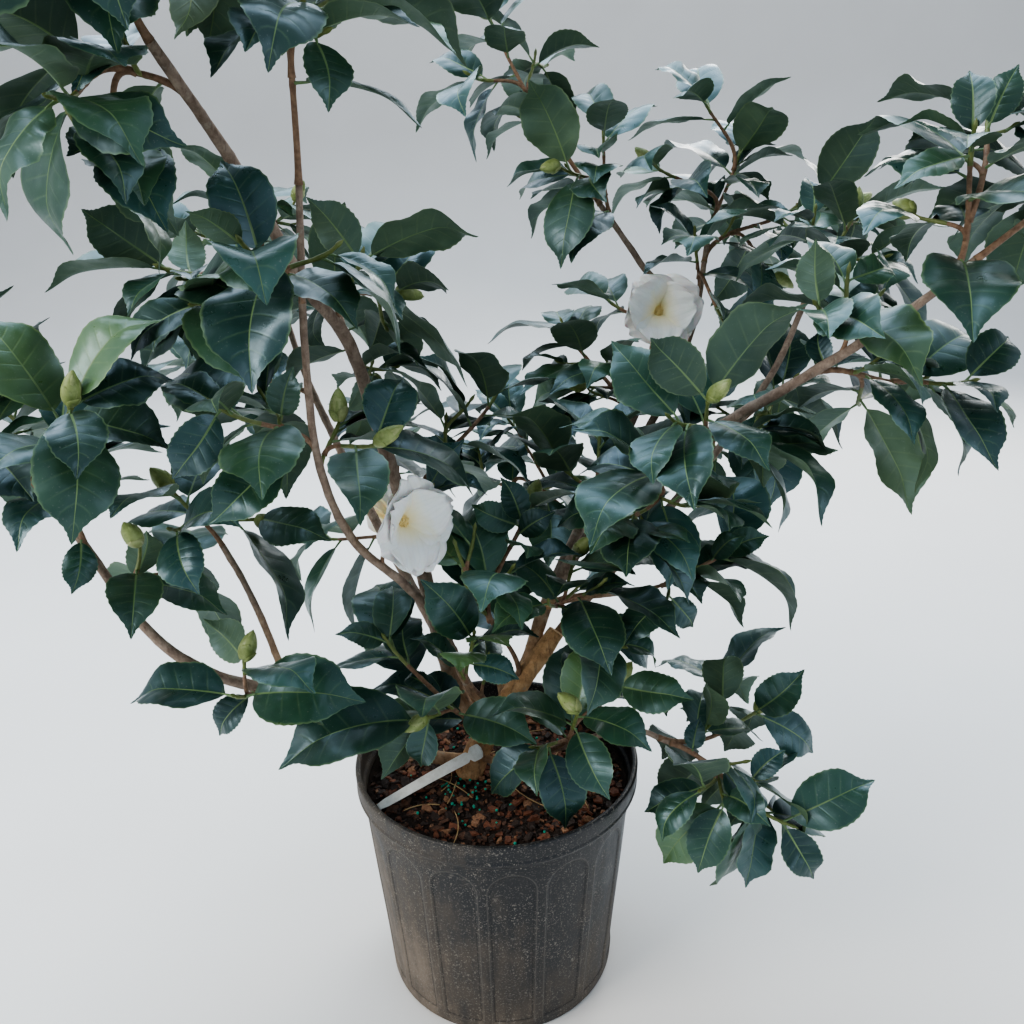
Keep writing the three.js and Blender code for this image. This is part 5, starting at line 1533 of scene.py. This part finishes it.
def pot_material(name):
    """Black plastic with dust, drips and specks, with painted light on its left side, a painted shadow in the
    groove round each panel and a painted highlight on the bead beside it; marks hold the distance in from the
    nearest panel's edge
    """
    m = Nodes(name, Specular_IOR_Level=0.45)
    x, _, z = m.split(m.place)
    streaks = m.noise(11, 6, 0.68, stretch=(1, 1, 0.12))
    film = m.plus(m.times(m.noise(60, 6, 0.7), 0.55), m.times(streaks, 0.45))
    film = m.plus(film, m.grey(z, 0.0, 0.19, 0.22, 0.0))
    # Painted light: the left side, where the light falls, turns lighter and browner on top of the dust
    film = m.plus(film, m.grey(x, -0.13, 0.03, 0.22, 0.0))
    base = m.ramp(film, (0.40, (0.007, 0.009, 0.013)), (0.56, (0.018, 0.019, 0.021)),
                  (0.76, (0.075, 0.062, 0.050)), (0.92, (0.165, 0.132, 0.102)))
    fine = m.grey(m.noise(1.6, 2, 0.6), 0.59, 0.64, 0, 1)
    coarse = m.grey(m.noise(3.6, 2, 0.6), 0.65, 0.68, 0, 1)
    specks = m.times(m.math("MAXIMUM", fine, coarse), m.grey(m.noise(26, 4), 0.35, 0.65, 0.18, 0.7))
    scuffs = m.grey(m.noise(4.5, 5, 0.75, stretch=(1, 1, 0.05)), 0.66, 0.72, 0, 0.35)
    wear_and_painted_edges = m.mixed(scuffs, base, (0.13, 0.12, 0.11))
    inside = m.marks()[0]
    # Painted shadow: a dark line just inside each panel's edge, in its recess
    groove_painted_shadow = m.grey(m.math("ABSOLUTE", m.minus(inside, 1.5)), 0.0, 1.1, 1, 0)
    # Painted highlight: a light line along the bead just outside each panel's edge
    bead_painted_highlight = m.grey(m.math("ABSOLUTE", m.plus(inside, 1.3)), 0.0, 1.1, 1, 0)
    wear_and_painted_edges = m.mixed(m.times(groove_painted_shadow, 0.7), wear_and_painted_edges, (0.006, 0.007, 0.009))
    wear_and_painted_edges = m.mixed(m.times(bead_painted_highlight, 0.35), wear_and_painted_edges, (0.16, 0.145, 0.125))
    height = m.plus(m.times(m.noise(3.2, 4, 0.7), 0.5), m.times(specks, 0.3))
    height = m.plus(height, m.times(m.minus(bead_painted_highlight, groove_painted_shadow), 0.8))
    m.finish(m.mixed(specks, wear_and_painted_edges, (0.27, 0.245, 0.21)),
             m.plus(m.grey(film, 0.4, 0.8, 0.32, 0.72), m.times(specks, 0.2)), height, 0.4, 0.9)
    return m.material


MATERIALS = {
    **{name: leaf_material(name, *row) for name, row in LEAVES.items()},
    **{name: simple_material(name, *row) for name, row in SIMPLE.items()},
    **{name: bark_material(name, *row) for name, row in BARKS.items()},
    "petal": petal_material("petal"),
    "pot_plastic": pot_material("pot_plastic"),
}


# Pieces: everything rides on the one body, and each piece stands for its nodes


def dress(pile, name, materials, slot, *nodes, smooth_faces=True):
    piece = pile.object(name, [MATERIALS[material] for material in materials], smooth_faces)
    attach(piece, "root")
    if nodes:
        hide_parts(*nodes)


def build_pot():
    pot = Pile()
    add_pot(pot)
    dress(pot, "pot_body", ["pot_plastic"], "pot", "pot")


def build_soil():
    chance = random.Random(SEEDS["soil"])
    bed = Pile()
    add_bed(bed)
    dress(bed, "soil_bed", ["soil_bed"], "soil", "soil")
    for add, name, materials, smooth_faces in (
            (add_chips, "bark_chips", [*CHIP_COLOURS], False),
            (add_crumbs, "peat_crumbs", ["chip_dark"], False),
            (add_pellets, "feed_pellets", ["pellet"], True),
            (add_needles, "fallen_needles", ["needle"], True)):
        pile = Pile()
        add(pile, chance)
        dress(pile, name, materials, "soil", smooth_faces=smooth_faces)


def build_tag():
    tag = Pile()
    add_tag(tag)
    dress(tag, "tag_strip", ["tag_plastic"], "plant_tag", "plant_tag")


def build_limbs():
    chance = random.Random(SEEDS["limbs"])
    trunk, *boughs = LIMBS
    trunk_wood, bough_wood = Pile(), Pile()
    add_limb(trunk_wood, trunk, chance, 28, flare=TRUNK["flare"] - 1, collar=0, cut_slot=1)
    dress(trunk_wood, "trunk_wood", ["trunk_bark", "cut_wood"], "trunk", "trunk")
    for bough in boughs:
        add_limb(bough_wood, bough, chance, 14)
    dress(bough_wood, "bough_wood", ["bough_bark"], "bark", *[bough.owner for bough in boughs])


REGIONS = {
    "left": ("far_left", "left_rosette", "low_left", "low_left_under", "left_inner"),
    "upright": ("upright_inner", "upright_left", "upright_rear", "top_left", "top", "slender_side",
                "slender_low", "slender_mid", "slender_top", "flower_left"),
    "middle": ("centre_left", "centre", "centre_right", "centre_back", "inner_rear", "front",
               "front_centre", "front_right", "low_right", "low_right_upper"),
    "right": ("right_low", "right_inner", "right_upper", "right_mid", "right_tip", "right_top",
              "right_rear_tip", "right_rear"),
    "rear_right": ("back_top", "back_upper", "flower_right", "back_right_top", "back_right_outer",
                   "back_right_inner"),
    "rear_left": ("back_mid", "back_left_tip", "back_left_outer", "back_left_low", "back"),
}

# The upper sides' materials, with the share of the leaves that each has
TINTS = dict(leaf_deep=0.42, leaf_blue=0.30, leaf_mid=0.23, leaf_fresh=0.05)
YOUNG_DRAW = dict(scale=0.985, start=0.03)


def tint_slot(chance, rank):
    """The number of a leaf's upper material: young leaves are more often fresh green"""
    draw = chance.random()
    if rank == 0:
        draw = draw * YOUNG_DRAW["scale"] + YOUNG_DRAW["start"]
    for number, share in enumerate(TINTS.values()):
        draw -= share
        if draw < 0:
            return number
    return len(TINTS) - 1


def build_foliage():
    under, rib = len(TINTS), len(TINTS) + 1
    for region, names in REGIONS.items():
        owners = ["leaves_" + name for name in names]
        chance = random.Random(region)
        leaves, twigs = Pile(), Pile()
        for leaf in SHRUB.leaves:
            if leaf.owner in owners:
                add_leaf(leaves, leaf, chance, (tint_slot(chance, leaf.rank), under, rib))
        for shoot in SHOOTS:
            if shoot.owner in owners:
                joints = [leaf.distance for leaf in SHRUB.leaves if leaf.shoot is shoot]
                add_twig(twigs, shoot, joints, chance, (0, 1))
        dress(leaves, "foliage_" + region, [*TINTS, "leaf_under", "leaf_rib"], "foliage", *owners)
        dress(twigs, "twigs_" + region, ["twig_bark", "green_shoot"], "bark")


def build_knobs():
    chance = random.Random(SEEDS["knobs"])
    buds, flowers = Pile(), Pile()
    for knob in SHRUB.knobs:
        if knob["kind"] == "bud":
            add_bud(buds, knob, chance, (0, 1))
        else:
            add_flower(flowers, knob, chance, (0, 1, 2, 3))
    dress(buds, "buds", ["bud_scale", "bud_scale_pale"], "foliage")
    dress(flowers, "flowers", ["petal", "stamen_thread", "stamen_head", "bud_scale"], "foliage")


build_pot()
build_soil()
build_tag()
build_limbs()
build_foliage()
build_knobs()


# Stage, light and camera, in metres

CAMERA = dict(place=(0.020, -0.777, 0.789), down=20.6, roll=-1.13, focal_pixels=920, frame_pixels=1024)
SENSOR = 36.0
FLOOR = dict(front=-4.0, run=2.6, bend=1.92, top=5.0, half_width=6.0, steps=24)

# Place, the point that it aims at, size, power and colour
LIGHTS = dict(
    sky_panel=((-0.3, 1.3, 2.7), (0, 0, 0.4), (3.4, 2.6), 105, (0.74, 0.87, 1.0)),
    window_left=((-2.2, -1.3, 1.9), (0, 0, 0.5), (1.5, 1.6), 62, (1.0, 0.95, 0.87)),
    fill_right=((2.4, -1.4, 1.2), (0, 0, 0.5), (1.8, 1.8), 14, (0.90, 0.95, 1.0)),
    rim_back=((1.3, 2.2, 1.7), (0, 0, 0.6), (1.6, 1.2), 38, (1.0, 0.96, 0.90)),
)
SKY = dict(colour=(0.76, 0.85, 0.97, 1), strength=0.55)


def add_floor():
    """A floor that bends up into a back wall"""
    mesh = bpy.data.meshes.new("floor")
    bend, wide = FLOOR["bend"], FLOOR["half_width"]
    angles = [math.pi / 2 * i / FLOOR["steps"] for i in range(FLOOR["steps"] + 1)]
    rows = [(FLOOR["run"] + bend * math.sin(angle), bend * (1 - math.cos(angle))) for angle in angles]
    rows = [(FLOOR["front"], 0.0), *rows, (rows[-1][0], FLOOR["top"])]
    points = [(x, y, z) for y, z in rows for x in (-wide, wide)]
    faces = [(2 * i, 2 * i + 1, 2 * i + 3, 2 * i + 2) for i in range(len(rows) - 1)]
    mesh.from_pydata(points, [], faces)
    mesh.polygons.foreach_set("use_smooth", [True] * len(faces))
    mesh.materials.append(MATERIALS["studio_floor"])
    floor = bpy.data.objects.new("floor", mesh)
    bpy.context.scene.collection.objects.link(floor)


def add_light(name, place, aim, size, power, colour):
    data = bpy.data.lights.new(name, "AREA")
    data.shape = "RECTANGLE"
    data.size, data.size_y = size
    data.energy, data.color = power, colour
    light = bpy.data.objects.new(name, data)
    z = unit(np.array(place, float) - np.array(aim, float))
    x = unit(np.cross(UP, z))
    light.matrix_world = Matrix([*np.column_stack([x, np.cross(z, x), z, place]), (0, 0, 0, 1)])
    bpy.context.scene.collection.objects.link(light)


def add_sky():
    world = bpy.context.scene.world or bpy.data.worlds.new("World")
    bpy.context.scene.world = world
    world.use_nodes = True
    background = world.node_tree.nodes["Background"]
    background.inputs["Color"].default_value = SKY["colour"]
    background.inputs["Strength"].default_value = SKY["strength"]


def add_camera():
    bpy.context.scene.view_settings.look = "AgX - Medium High Contrast"
    data = bpy.data.cameras.new("camera")
    data.sensor_width = SENSOR
    data.lens = SENSOR * CAMERA["focal_pixels"] / CAMERA["frame_pixels"]
    camera = bpy.data.objects.new("camera", data)
    tilt = Matrix.Rotation(math.radians(90 - CAMERA["down"]), 4, "X")
    roll = Matrix.Rotation(math.radians(CAMERA["roll"]), 4, "Z")
    camera.matrix_world = Matrix.Translation(CAMERA["place"]) @ tilt @ roll
    bpy.context.scene.collection.objects.link(camera)
    bpy.context.scene.camera = camera


add_floor()
for light_name, light_row in LIGHTS.items():
    add_light(light_name, *light_row)
add_sky()
add_camera()
